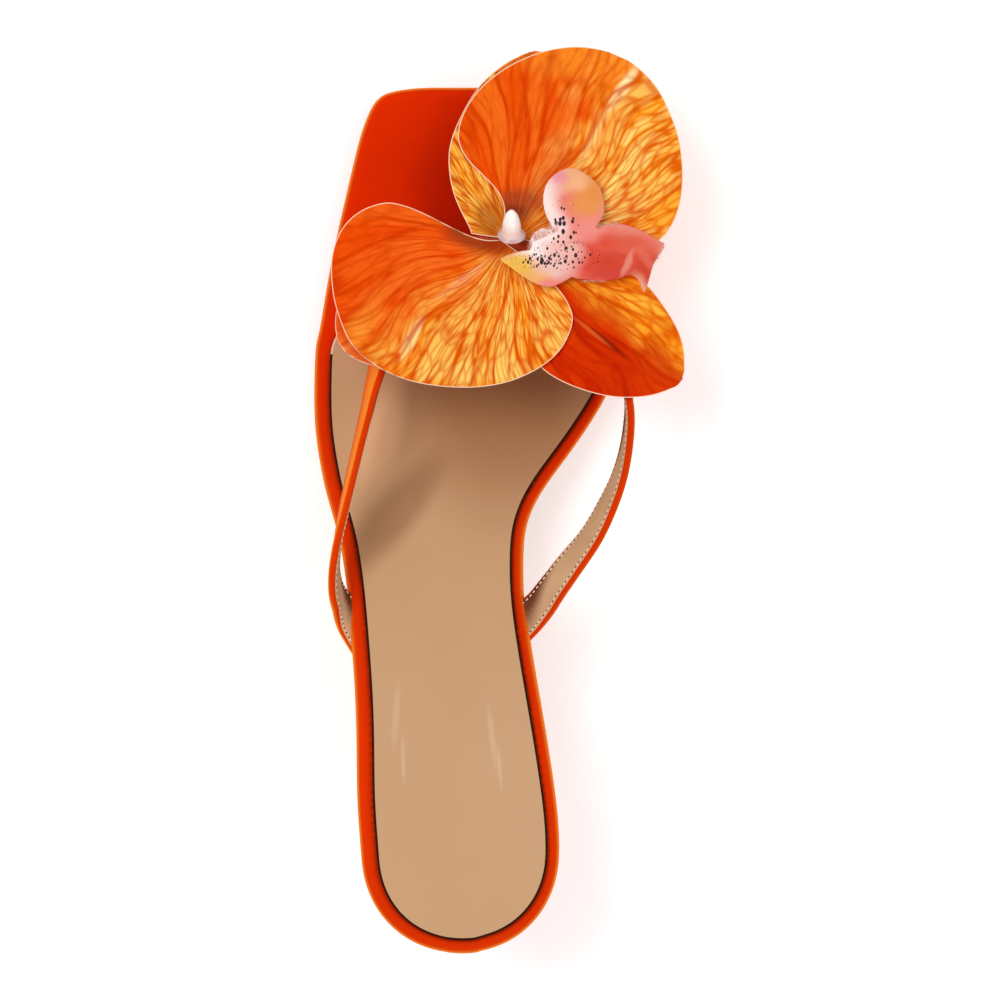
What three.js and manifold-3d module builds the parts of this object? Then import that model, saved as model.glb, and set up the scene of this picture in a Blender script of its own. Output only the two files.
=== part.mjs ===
// Toe-post mule sandal with a slim heel and a fabric orchid, left shoe.
// Millimetres, +Y to the toe, +X to the medial side, +Z up, floor at zero.

import * as THREE from 'three';
import { mergeVertices } from 'three/addons/utils/BufferGeometryUtils.js';
import Module from 'manifold-3d';

const wasm = await Module();
wasm.setup();

// Driving sizes of the shoe
const LENGTH = 236;
const BALL_WIDTH = 85;
const HEEL_RISE = 50;
const TOE_SPRING = 4;
const SEAT_CUP = 1.5;
const SEAT_FRONT = 0.45;
const SEAT_FADE = 0.25;
const OUTSOLE_THICK = 2;
const FOOTBED_THICK = 4.5;
const SOCK_THICK = 1.2;
const GAP = 0.3;

// Rims and ends of the sole's layers
const RIM_LATERAL = 4.3;
const RIM_MEDIAL = 3.2;
const RIM_HEEL = 3.8;
const OUTSOLE_INSET = 1.4;
const SOCK_FRONT = 0.694;
const SOCK_TONGUE = 0.095;
const TONGUE_ROWS = 8;
const TONGUE_POWER = 2.3;
const BREAST = 0.19;

// The covered heel and its top piece
const HEEL_INSET = 1.3;
const FOOT_WIDTH = 12;
const FOOT_LENGTH = 13;
const FOOT_BACK = 7;
const FOOT_ROUND = 1.6;
const FOOT_POWER = 0.8;
const TOP_PIECE_THICK = 6;
const HEEL_ACROSS = 4;
const SOLE_ACROSS = 6;

// Straps and toe post
const STRAP_WIDTH = 10;
const STRAP_THICK = 2;
const STRAP_ROUND = 0.6;
const STRAP_RISE = 25;
const STRAP_STEPS = 3;
const CROSSING = 0.81;
const POST_LONG = 8;
const POST_WIDE = 4;
const POST_ALONG = 0.812;
const POST_ACROSS = 0.165;
const POST_SIDES = 10;

// The fabric orchid
const FLOWER_ALONG = 0.8175;
const FLOWER_ACROSS = 0.156;
const FLOWER_STAND = 4.7;
const PETAL_THICK = 0.8;
const BOWL_RISE = 7;
const BOWL_RADIUS = 50;
const BOWL_SLOPE = 0.1;
const PETAL_ACROSS = 6;
const BASE_RADIUS = 9;
const BASE_THICK = 3.6;
const BASE_SIDES = 28;
const COLUMN_LENGTH = 9;
const COLUMN_RADIUS = 2.8;
const COLUMN_LEAN = 50;
const COLUMN_OFFSET = 1;
const COLUMN_SIDES = 14;

// The column over its saucer: shares of its radius and length
const COLUMN_PROFILE = [
  { radius: 0, height: 0 },
  { radius: 1.2, height: 0 },
  { radius: 1.45, height: 0.04 },
  { radius: 1.45, height: 0.09 },
  { radius: 1.05, height: 0.13 },
  { radius: 0.98, height: 0.28 },
  { radius: 0.94, height: 0.42 },
  { radius: 0.87, height: 0.57 },
  { radius: 0.76, height: 0.71 },
  { radius: 0.58, height: 0.86 },
  { radius: 0.2, height: 1 },
  { radius: 0, height: 1 },
];

// Underside of the shoe: rise as a share of the heel's rise
const PROFILE = [
  { along: 0, rise: 1 },
  { along: 0.1, rise: 0.965 },
  { along: 0.2, rise: 0.905 },
  { along: 0.3, rise: 0.79 },
  { along: 0.4, rise: 0.6 },
  { along: 0.5, rise: 0.375 },
  { along: 0.58, rise: 0.195 },
  { along: 0.64, rise: 0.075 },
  { along: 0.69, rise: 0.012 },
  { along: 0.72, rise: 0 },
  { along: 0.8, rise: 0 },
  { along: 1, rise: 0 },
];
const TREAD_END = 0.8;

// Outer edge of the footbed: along is a share of the length, the sides of the ball width
const HEEL_CAP = 0.118;
const HEEL_POWER = 2.1;
const HEEL_ROWS = 9;
const OUTLINE = [
  { along: 0.118, lateral: 0.323, medial: 0.309 },
  { along: 0.152, lateral: 0.331, medial: 0.305 },
  { along: 0.186, lateral: 0.336, medial: 0.294 },
  { along: 0.232, lateral: 0.337, medial: 0.275 },
  { along: 0.277, lateral: 0.34, medial: 0.254 },
  { along: 0.322, lateral: 0.348, medial: 0.232 },
  { along: 0.368, lateral: 0.359, medial: 0.211 },
  { along: 0.414, lateral: 0.371, medial: 0.194 },
  { along: 0.46, lateral: 0.39, medial: 0.194 },
  { along: 0.484, lateral: 0.407, medial: 0.201 },
  { along: 0.506, lateral: 0.425, medial: 0.221 },
  { along: 0.529, lateral: 0.445, medial: 0.256 },
  { along: 0.553, lateral: 0.459, medial: 0.305 },
  { along: 0.576, lateral: 0.471, medial: 0.353 },
  { along: 0.6, lateral: 0.48, medial: 0.399 },
  { along: 0.623, lateral: 0.484, medial: 0.44 },
  { along: 0.646, lateral: 0.485, medial: 0.475 },
  { along: 0.672, lateral: 0.484, medial: 0.502 },
  { along: 0.703, lateral: 0.48, medial: 0.525 },
  { along: 0.71, lateral: 0.471, medial: 0.521 },
  { along: 0.74, lateral: 0.457, medial: 0.535 },
  { along: 0.8, lateral: 0.43, medial: 0.546 },
  { along: 0.868, lateral: 0.386, medial: 0.532 },
  { along: 0.927, lateral: 0.348, medial: 0.504 },
  { along: 0.95, lateral: 0.33, medial: 0.489 },
  { along: 0.974, lateral: 0.304, medial: 0.462 },
  { along: 0.986, lateral: 0.282, medial: 0.434 },
  { along: 0.995, lateral: 0.25, medial: 0.39 },
  { along: 1, lateral: 0.15, medial: 0.28 },
];

// Edge rows of each layer, underside to top, in shares of its thickness
const FOOTBED_EDGE = [
  { inset: 0.49, height: 0 },
  { inset: 0.155, height: 0.1 },
  { inset: 0, height: 0.38 },
  { inset: 0, height: 0.56 },
  { inset: 0.09, height: 0.78 },
  { inset: 0.29, height: 0.94 },
  { inset: 0.6, height: 1 },
];
const SOCK_EDGE = [
  { inset: 0, height: 0 },
  { inset: 0, height: 0.75 },
  { inset: 0.3, height: 1 },
];
const OUTSOLE_EDGE = [
  { inset: 0.25, height: 0 },
  { inset: 0, height: 0.35 },
  { inset: 0, height: 1 },
];

// Heel sections from the foot up: how far each line has come from the foot to the seat
const HEEL_SECTIONS = [
  { height: 0, wide: 0, back: 0, breast: 0 },
  { height: 0.2, wide: 0.02, back: 0.06, breast: 0.01 },
  { height: 0.4, wide: 0.06, back: 0.16, breast: 0.03 },
  { height: 0.58, wide: 0.14, back: 0.31, breast: 0.09 },
  { height: 0.73, wide: 0.28, back: 0.48, breast: 0.21 },
  { height: 0.85, wide: 0.5, back: 0.67, breast: 0.43 },
  { height: 0.94, wide: 0.77, back: 0.85, breast: 0.74 },
  { height: 1, wide: 1, back: 1, breast: 1 },
];

// Strap routes from the root under the footbed to the crossing over the post.
// above is a share of the strap's rise, tilt is degrees that its top edge leans out.
const LATERAL_STRAP = [
  { along: 0.337, across: -0.278, above: 0, tilt: 77 },
  { along: 0.36, across: -0.32, above: 0, tilt: 77 },
  { along: 0.379, across: -0.354, above: 0.045, tilt: 64 },
  { along: 0.395, across: -0.383, above: 0.15, tilt: 38 },
  { along: 0.412, across: -0.404, above: 0.31, tilt: 18 },
  { along: 0.435, across: -0.411, above: 0.48, tilt: 6 },
  { along: 0.466, across: -0.402, above: 0.655, tilt: 0 },
  { along: 0.506, across: -0.38, above: 0.8, tilt: -6 },
  { along: 0.546, across: -0.356, above: 0.9, tilt: -9 },
  { along: 0.581, across: -0.334, above: 0.96, tilt: -10 },
  { along: 0.615, across: -0.312, above: 0.98, tilt: -12 },
  { along: 0.65, across: -0.29, above: 1, tilt: -16 },
  { along: 0.697, across: -0.25, above: 1, tilt: -30 },
  { along: 0.743, across: -0.18, above: 0.93, tilt: -46 },
  { along: 0.78, across: -0.085, above: 0.87, tilt: -62 },
  { along: 0.802, across: 0.04, above: 0.83, tilt: -76 },
  { along: 0.812, across: 0.165, above: 0.81, tilt: -84 },
  { along: 0.815, across: 0.235, above: 0.8, tilt: -86 },
];
const MEDIAL_STRAP = [
  { along: 0.348, across: 0.104, above: 0, tilt: 72 },
  { along: 0.37, across: 0.176, above: 0, tilt: 72 },
  { along: 0.383, across: 0.212, above: 0.045, tilt: 68 },
  { along: 0.397, across: 0.249, above: 0.14, tilt: 56 },
  { along: 0.416, across: 0.287, above: 0.29, tilt: 48 },
  { along: 0.441, across: 0.338, above: 0.47, tilt: 43 },
  { along: 0.477, across: 0.412, above: 0.7, tilt: 33 },
  { along: 0.512, across: 0.463, above: 0.87, tilt: 25 },
  { along: 0.546, across: 0.501, above: 0.98, tilt: 16 },
  { along: 0.581, across: 0.524, above: 1.05, tilt: 9 },
  { along: 0.615, across: 0.533, above: 1.07, tilt: 4 },
  { along: 0.65, across: 0.527, above: 1.05, tilt: -8 },
  { along: 0.691, across: 0.502, above: 1, tilt: -25 },
  { along: 0.731, across: 0.448, above: 0.95, tilt: -42 },
  { along: 0.766, across: 0.371, above: 0.9, tilt: -58 },
  { along: 0.796, across: 0.265, above: 0.85, tilt: -72 },
  { along: 0.812, across: 0.165, above: 0.81, tilt: -82 },
  { along: 0.82, across: 0.1, above: 0.79, tilt: -86 },
];

// Petals from claw to tip: reach is a share of the length, the sides of the breadth,
// lift and curl of the bowl's rise
const PETAL_FRONT = {
  turn: 65.5, length: 57.6, breadth: 64, layer: 1, lift: 0.21, curl: 0.17, steps: 2,
  rows: [
    { reach: 0.03, left: 0.04, right: 0.1 },
    { reach: 0.08, left: 0.065, right: 0.3 },
    { reach: 0.15, left: 0.1, right: 0.43 },
    { reach: 0.2, left: 0.165, right: 0.5 },
    { reach: 0.25, left: 0.29, right: 0.55 },
    { reach: 0.3, left: 0.365, right: 0.58 },
    { reach: 0.37, left: 0.402, right: 0.595 },
    { reach: 0.47, left: 0.412, right: 0.592 },
    { reach: 0.58, left: 0.395, right: 0.562 },
    { reach: 0.68, left: 0.356, right: 0.518 },
    { reach: 0.78, left: 0.295, right: 0.458 },
    { reach: 0.87, left: 0.215, right: 0.375 },
    { reach: 0.94, left: 0.125, right: 0.295 },
    { reach: 0.98, left: 0.041, right: 0.21 },
    { reach: 1, left: -0.045, right: 0.13 },
  ],
};
const PETAL_LATERAL = {
  turn: 235.4, length: 49.2, breadth: 65, layer: 1, lift: 0.21, curl: 0.17, steps: 2,
  rows: [
    { reach: 0.03, left: 0.12, right: 0.04 },
    { reach: 0.08, left: 0.3, right: 0.09 },
    { reach: 0.12, left: 0.36, right: 0.19 },
    { reach: 0.15, left: 0.39, right: 0.37 },
    { reach: 0.2, left: 0.412, right: 0.5 },
    { reach: 0.26, left: 0.424, right: 0.55 },
    { reach: 0.33, left: 0.43, right: 0.585 },
    { reach: 0.41, left: 0.423, right: 0.606 },
    { reach: 0.52, left: 0.393, right: 0.608 },
    { reach: 0.65, left: 0.332, right: 0.575 },
    { reach: 0.75, left: 0.26, right: 0.522 },
    { reach: 0.84, left: 0.17, right: 0.46 },
    { reach: 0.93, left: 0.048, right: 0.37 },
    { reach: 0.975, left: -0.045, right: 0.31 },
    { reach: 1, left: -0.14, right: 0.23 },
  ],
};
const SEPAL_FRONT = {
  turn: 81.9, length: 52.2, breadth: 41, layer: 0, lift: 0, curl: 0.07, steps: 1,
  rows: [
    { reach: 0.006, left: 0.27, right: 0.1 },
    { reach: 0.04, left: 0.29, right: 0.14 },
    { reach: 0.1, left: 0.35, right: 0.22 },
    { reach: 0.2, left: 0.43, right: 0.34 },
    { reach: 0.3, left: 0.475, right: 0.42 },
    { reach: 0.42, left: 0.505, right: 0.46 },
    { reach: 0.54, left: 0.48, right: 0.46 },
    { reach: 0.66, left: 0.43, right: 0.42 },
    { reach: 0.77, left: 0.37, right: 0.35 },
    { reach: 0.88, left: 0.26, right: 0.25 },
    { reach: 0.96, left: 0.13, right: 0.12 },
    { reach: 1, left: 0.03, right: 0.03 },
  ],
};
const SEPAL_LATERAL = {
  turn: 213.2, length: 54.6, breadth: 33, layer: 0, lift: 0, curl: 0.07, steps: 1,
  rows: [
    { reach: 0.08, left: 0.08, right: 0.08 },
    { reach: 0.2, left: 0.22, right: 0.22 },
    { reach: 0.35, left: 0.37, right: 0.4 },
    { reach: 0.5, left: 0.45, right: 0.5 },
    { reach: 0.65, left: 0.45, right: 0.51 },
    { reach: 0.78, left: 0.4, right: 0.46 },
    { reach: 0.88, left: 0.31, right: 0.37 },
    { reach: 0.95, left: 0.2, right: 0.26 },
    { reach: 0.99, left: 0.08, right: 0.14 },
    { reach: 1, left: 0.02, right: 0.07 },
  ],
};
const SEPAL_MEDIAL = {
  turn: 319, length: 60.1, breadth: 40, layer: 0, lift: 0, curl: 0.07, steps: 1,
  rows: [
    { reach: 0.08, left: 0.08, right: 0.08 },
    { reach: 0.2, left: 0.2, right: 0.25 },
    { reach: 0.33, left: 0.32, right: 0.44 },
    { reach: 0.46, left: 0.37, right: 0.545 },
    { reach: 0.6, left: 0.38, right: 0.505 },
    { reach: 0.7, left: 0.35, right: 0.45 },
    { reach: 0.8, left: 0.305, right: 0.375 },
    { reach: 0.88, left: 0.25, right: 0.28 },
    { reach: 0.95, left: 0.155, right: 0.17 },
    { reach: 0.99, left: 0.07, right: 0.05 },
    { reach: 1, left: 0.03, right: 0.005 },
  ],
};

// The lip's lobes spread from its throat
const LIP_OFFSET = { across: 17, along: -5 };
const LIP_HEIGHT = 2.5;
const LOBE_ACROSS = 4;
const THROAT = { radius: 6, long: 0.8, high: 0.2, sides: 14, rings: 6 };
const LOBE_FRONT = {
  turn: 91, length: 24.6, breadth: 17, lift: 0.57, curl: 0.14, steps: 2,
  rows: [
    { reach: 0, left: 0.25, right: 0.25 },
    { reach: 0.16, left: 0.26, right: 0.28 },
    { reach: 0.31, left: 0.31, right: 0.33 },
    { reach: 0.47, left: 0.43, right: 0.49 },
    { reach: 0.62, left: 0.48, right: 0.5 },
    { reach: 0.8, left: 0.44, right: 0.42 },
    { reach: 0.92, left: 0.31, right: 0.23 },
    { reach: 1, left: 0.09, right: 0.05 },
  ],
};
const LOBE_LATERAL = {
  turn: 181, length: 20, breadth: 13, lift: 0.21, curl: 0.14, steps: 2,
  rows: [
    { reach: 0, left: 0.36, right: 0.42 },
    { reach: 0.3, left: 0.59, right: 0.44 },
    { reach: 0.5, left: 0.54, right: 0.22 },
    { reach: 0.7, left: 0.36, right: 0.18 },
    { reach: 0.9, left: 0.13, right: 0.1 },
    { reach: 1, left: 0.03, right: 0.03 },
  ],
};
const LOBE_MEDIAL = {
  turn: 0, length: 24.5, breadth: 14, lift: 0.71, curl: 0.14, steps: 2,
  rows: [
    { reach: 0, left: 0.39, right: 0.39 },
    { reach: 0.2, left: 0.52, right: 0.43 },
    { reach: 0.35, left: 0.66, right: 0.44 },
    { reach: 0.5, left: 0.68, right: 0.4 },
    { reach: 0.63, left: 0.62, right: 0.32 },
    { reach: 0.72, left: 0.56, right: 0.46 },
    { reach: 0.77, left: 0.52, right: 0.7 },
    { reach: 0.83, left: 0.45, right: 0.44 },
    { reach: 0.88, left: 0.39, right: 0.13 },
    { reach: 0.94, left: 0.34, right: -0.03 },
    { reach: 1, left: 0.28, right: -0.2 },
  ],
};
const LOBE_BACK = {
  turn: 152, length: 12.9, breadth: 10, lift: 0.1, curl: 0.14, steps: 1,
  rows: [
    { reach: 0, left: 0.4, right: 0.4 },
    { reach: 0.4, left: 0.5, right: 0.45 },
    { reach: 0.7, left: 0.48, right: 0.42 },
    { reach: 0.9, left: 0.34, right: 0.32 },
    { reach: 1, left: 0.14, right: 0.12 },
  ],
};

// Smooth value between the rows of a table, with no overshoot
function valueAt(rows, key, column, at) {
  const last = rows.length - 1;
  const place = Math.min(Math.max(at, rows[0][key]), rows[last][key]);
  let i = 0;
  while (i < last - 1 && place > rows[i + 1][key]) {
    i += 1;
  }
  const slope = (k) => {
    return (rows[k + 1][column] - rows[k][column]) / (rows[k + 1][key] - rows[k][key]);
  };
  const tangent = (k) => {
    if (k === 0 || k === last) {
      return slope(k === 0 ? 0 : last - 1);
    }
    const product = slope(k - 1) * slope(k);
    return product <= 0 ? 0 : (2 * product) / (slope(k - 1) + slope(k));
  };
  const width = rows[i + 1][key] - rows[i][key];
  const t = (place - rows[i][key]) / width;
  const eased = t * t * (3 - 2 * t);
  const start = rows[i][column] * (1 - eased) + rows[i + 1][column] * eased;
  const lead = tangent(i) * t * (1 - t) * (1 - t);
  const trail = tangent(i + 1) * t * t * (1 - t);
  return start + width * (lead - trail);
}

// Underside of the last at a point, with its cupped seat and toe spring
function lastAt(x, y) {
  const along = y / LENGTH;
  const rise = HEEL_RISE * valueAt(PROFILE, 'along', 'rise', along);
  const past = Math.max(0, (along - TREAD_END) / (1 - TREAD_END));
  const lateral = valueAt(OUTLINE, 'along', 'lateral', along);
  const medial = valueAt(OUTLINE, 'along', 'medial', along);
  const middle = (medial - lateral) / 2;
  const half = (medial + lateral) / 2;
  const side = Math.min(1, Math.abs((x / BALL_WIDTH - middle) / half));
  const seat = THREE.MathUtils.smoothstep(SEAT_FRONT - along, 0, SEAT_FADE);
  return rise + TOE_SPRING * past * past - SEAT_CUP * seat * (1 - side * side);
}

// Rounded end rows for an outline, as a superellipse from its tip
function capRows(count, power) {
  const rows = [];
  for (let i = 1; i < count; i += 1) {
    const angle = (Math.PI / 2) * (i / count);
    rows.push({
      depth: 1 - Math.cos(angle) ** (2 / power),
      width: Math.sin(angle) ** (2 / power),
    });
  }
  return rows;
}

// Matched points down both sides through table rows, with steps between rows
function pairsThrough(rows, steps) {
  const side = (name) => {
    const points = rows.map((row) => new THREE.Vector3(row[name], row.y, 0));
    return new THREE.CatmullRomCurve3(points, false, 'centripetal');
  };
  const left = side('left');
  const right = side('right');
  const count = (rows.length - 1) * steps;
  const pairs = [];
  for (let i = 0; i <= count; i += 1) {
    pairs.push({ left: left.getPoint(i / count), right: right.getPoint(i / count) });
  }
  return pairs;
}

// Edge loop of the pairs: up the left side, over the toe end, down the right side and back
function loopOf(pairs, across) {
  const between = (from, to) => {
    return Array.from({ length: across - 1 }, (_, j) => from.clone().lerp(to, (j + 1) / across));
  };
  const heel = pairs[0];
  const toe = pairs[pairs.length - 1];
  return [
    ...pairs.map((pair) => pair.left),
    ...between(toe.left, toe.right),
    ...pairs.map((pair) => pair.right).reverse(),
    ...between(heel.right, heel.left),
  ];
}

// The pairs moved inward, by a distance that may follow their outward normal
function insetPairs(pairs, insetFor) {
  const edge = loopOf(pairs, 1);
  const moved = edge.map((point, i) => {
    const before = edge[(i + edge.length - 1) % edge.length];
    const after = edge[(i + 1) % edge.length];
    const back = point.clone().sub(before).normalize();
    const ahead = after.clone().sub(point).normalize();
    const run = back.add(ahead).normalize();
    const outward = new THREE.Vector3(-run.y, run.x, 0);
    return point.clone().addScaledVector(outward, -insetFor(outward));
  });
  return pairs.map((_, k) => ({ left: moved[k], right: moved[edge.length - 1 - k] }));
}

// The pairs between two places along the shoe, with new end pairs where it is cut
function pairsBetween(pairs, from, to) {
  const rows = pairs.filter((pair) => pair.left.y > from && pair.left.y < to);
  const cutAt = (y) => {
    const k = pairs.findIndex((pair) => pair.left.y >= y);
    if (k < 1) {
      return [];
    }
    const t = (y - pairs[k - 1].left.y) / (pairs[k].left.y - pairs[k - 1].left.y);
    const left = pairs[k - 1].left.clone().lerp(pairs[k].left, t).setY(y);
    const right = pairs[k - 1].right.clone().lerp(pairs[k].right, t).setY(y);
    return [{ left, right }];
  };
  return [...cutAt(from), ...rows, ...cutAt(to)];
}

// Closed solid through stacked loops, with ridged caps that follow two height functions
function solidThrough(loops, underAt, overAt, across) {
  const size = loops[0].length;
  const rowCount = size / 2 - (across - 1);
  const vertices = loops.flat().map((point) => [point.x, point.y, point.z]);
  const faces = [];
  for (let r = 0; r < loops.length - 1; r += 1) {
    for (let i = 0; i < size; i += 1) {
      const next = (i + 1) % size;
      const a = r * size + i;
      const b = r * size + next;
      const c = (r + 1) * size + next;
      const d = (r + 1) * size + i;
      faces.push([a, d, b], [b, d, c]);
    }
  }
  const capRow = (loop, base, k, heightAt) => {
    const rightAt = size - across - k;
    const row = [base + k];
    for (let j = 1; j < across; j += 1) {
      if (k === 0) {
        row.push(base + size - j);
      } else if (k === rowCount - 1) {
        row.push(base + rowCount - 1 + j);
      } else {
        const point = loop[k].clone().lerp(loop[rightAt], j / across);
        row.push(vertices.length);
        vertices.push([point.x, point.y, heightAt(point.x, point.y)]);
      }
    }
    row.push(base + rightAt);
    return row;
  };
  const addCap = (loop, base, heightAt, facesUp) => {
    const add = (a, b, c) => faces.push(facesUp ? [a, b, c] : [a, c, b]);
    let row = capRow(loop, base, 0, heightAt);
    for (let k = 1; k < rowCount; k += 1) {
      const next = capRow(loop, base, k, heightAt);
      for (let j = 0; j < across; j += 1) {
        add(row[j], row[j + 1], next[j + 1]);
        add(row[j], next[j + 1], next[j]);
      }
      row = next;
    }
  };
  addCap(loops[0], 0, underAt, false);
  addCap(loops[loops.length - 1], (loops.length - 1) * size, overAt, true);
  return geometryFrom(vertices, faces);
}

function geometryFrom(vertices, faces) {
  const geometry = new THREE.BufferGeometry();
  geometry.setAttribute('position', new THREE.Float32BufferAttribute(vertices.flat(), 3));
  geometry.setIndex(faces.flat());
  geometry.computeVertexNormals();
  return geometry;
}

// A layer of the sole over an outline, from one height function to another
function layer(pairs, edge, thickness, underAt, overAt, across) {
  const loops = edge.map((row) => {
    return loopOf(insetPairs(pairs, () => row.inset * thickness), across).map((point) => {
      const low = underAt(point.x, point.y);
      const high = overAt(point.x, point.y);
      return new THREE.Vector3(point.x, point.y, low + (high - low) * row.height);
    });
  });
  return solidThrough(loops, underAt, overAt, across);
}

// Solids for cutting and joining
function solidOf(geometry) {
  const bare = geometry.clone();
  bare.deleteAttribute('normal');
  bare.deleteAttribute('uv');
  const merged = mergeVertices(bare);
  return new wasm.Manifold(new wasm.Mesh({
    numProp: 3,
    vertProperties: new Float32Array(merged.attributes.position.array),
    triVerts: new Uint32Array(merged.index.array),
  }));
}

// The main body of a cut piece, without thin offcuts beside the cut
function trimmed(solid) {
  const pieces = solid.decompose();
  return pieces.reduce((main, piece) => (piece.volume() > main.volume() ? piece : main));
}

function geometryOf(solid) {
  const mesh = trimmed(solid).getMesh();
  const geometry = new THREE.BufferGeometry();
  geometry.setAttribute('position', new THREE.Float32BufferAttribute(mesh.vertProperties, 3));
  geometry.setIndex([...mesh.triVerts]);
  geometry.computeVertexNormals();
  return geometry;
}

// The sole's outline in millimetres, as matched pairs from the heel to the toe
function solePairs() {
  const seat = OUTLINE[0];
  const middle = (seat.medial - seat.lateral) / 2;
  const half = (seat.medial + seat.lateral) / 2;
  const cap = capRows(HEEL_ROWS, HEEL_POWER).map((row) => ({
    y: row.depth * HEEL_CAP * LENGTH,
    left: (middle - half * row.width) * BALL_WIDTH,
    right: (middle + half * row.width) * BALL_WIDTH,
  }));
  const sides = OUTLINE.map((row) => ({
    y: row.along * LENGTH,
    left: -row.lateral * BALL_WIDTH,
    right: row.medial * BALL_WIDTH,
  }));
  return pairsThrough([...cap, ...sides], 1);
}

const outsoleTop = (x, y) => lastAt(x, y) + OUTSOLE_THICK;
const footbedUnder = (x, y) => outsoleTop(x, y) + GAP;
const footbedTop = (x, y) => footbedUnder(x, y) + FOOTBED_THICK;
const sockUnder = (x, y) => footbedTop(x, y) + GAP;
const sockTop = (x, y) => sockUnder(x, y) + SOCK_THICK;

function footbedGeometry() {
  return layer(solePairs(), FOOTBED_EDGE, FOOTBED_THICK, footbedUnder, footbedTop, SOLE_ACROSS);
}

// The sock stands inside the wrapped rim and ends in a rounded tongue behind the toe post
function sockGeometry() {
  const rimFor = (outward) => {
    const side = outward.x < 0 ? RIM_LATERAL : RIM_MEDIAL;
    return outward.x ** 2 * side + outward.y ** 2 * RIM_HEEL;
  };
  const inner = insetPairs(solePairs(), rimFor);
  const rows = pairsBetween(inner, 0, SOCK_FRONT * LENGTH);
  const last = rows[rows.length - 1];
  const middle = (last.left.x + last.right.x) / 2;
  const half = (last.right.x - last.left.x) / 2;
  for (const row of capRows(TONGUE_ROWS, TONGUE_POWER).reverse()) {
    const y = last.left.y + (1 - row.depth) * SOCK_TONGUE * LENGTH;
    rows.push({
      left: new THREE.Vector3(middle - half * row.width, y, 0),
      right: new THREE.Vector3(middle + half * row.width, y, 0),
    });
  }
  return layer(rows, SOCK_EDGE, SOCK_THICK, sockUnder, sockTop, SOLE_ACROSS);
}

// The outsole runs from the toe to the heel's breast
function outsoleGeometry() {
  const inner = insetPairs(solePairs(), () => OUTSOLE_INSET);
  const rows = pairsBetween(inner, BREAST * LENGTH + GAP, LENGTH);
  return layer(rows, OUTSOLE_EDGE, OUTSOLE_THICK, lastAt, outsoleTop, SOLE_ACROSS);
}

// D-shaped foot of the heel: round at the back, flat at the breast
function footPoint(side, share) {
  const round = Math.sin(Math.min(1, share * FOOT_ROUND) * (Math.PI / 2)) ** FOOT_POWER;
  return new THREE.Vector3(side * (FOOT_WIDTH / 2) * round, FOOT_BACK + FOOT_LENGTH * share, 0);
}

function heelLoops() {
  const inner = insetPairs(solePairs(), () => HEEL_INSET);
  const seat = pairsBetween(inner, 0, BREAST * LENGTH);
  const foot = seat.map((_, k) => {
    const share = (k + 0.5) / (seat.length - 0.5);
    return { left: footPoint(-1, share), right: footPoint(1, share) };
  });
  return { seat: loopOf(seat, HEEL_ACROSS), foot: loopOf(foot, HEEL_ACROSS) };
}

function heelGeometry() {
  const { seat, foot } = heelLoops();
  const floor = TOP_PIECE_THICK + GAP;
  const depth = Math.max(...seat.map((point) => point.y));
  const loops = HEEL_SECTIONS.map((section) => seat.map((top, i) => {
    const deep = THREE.MathUtils.lerp(section.back, section.breast, top.y / depth);
    const x = THREE.MathUtils.lerp(foot[i].x, top.x, section.wide);
    const y = THREE.MathUtils.lerp(foot[i].y, top.y, deep);
    const z = THREE.MathUtils.lerp(floor, outsoleTop(top.x, top.y), section.height);
    return new THREE.Vector3(x, y, z);
  }));
  return solidThrough(loops, () => floor, outsoleTop, HEEL_ACROSS);
}

function topPieceGeometry() {
  const { foot } = heelLoops();
  const at = (height) => foot.map((point) => new THREE.Vector3(point.x, point.y, height));
  const loops = [at(0), at(TOP_PIECE_THICK)];
  return solidThrough(loops, () => 0, () => TOP_PIECE_THICK, HEEL_ACROSS);
}

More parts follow.
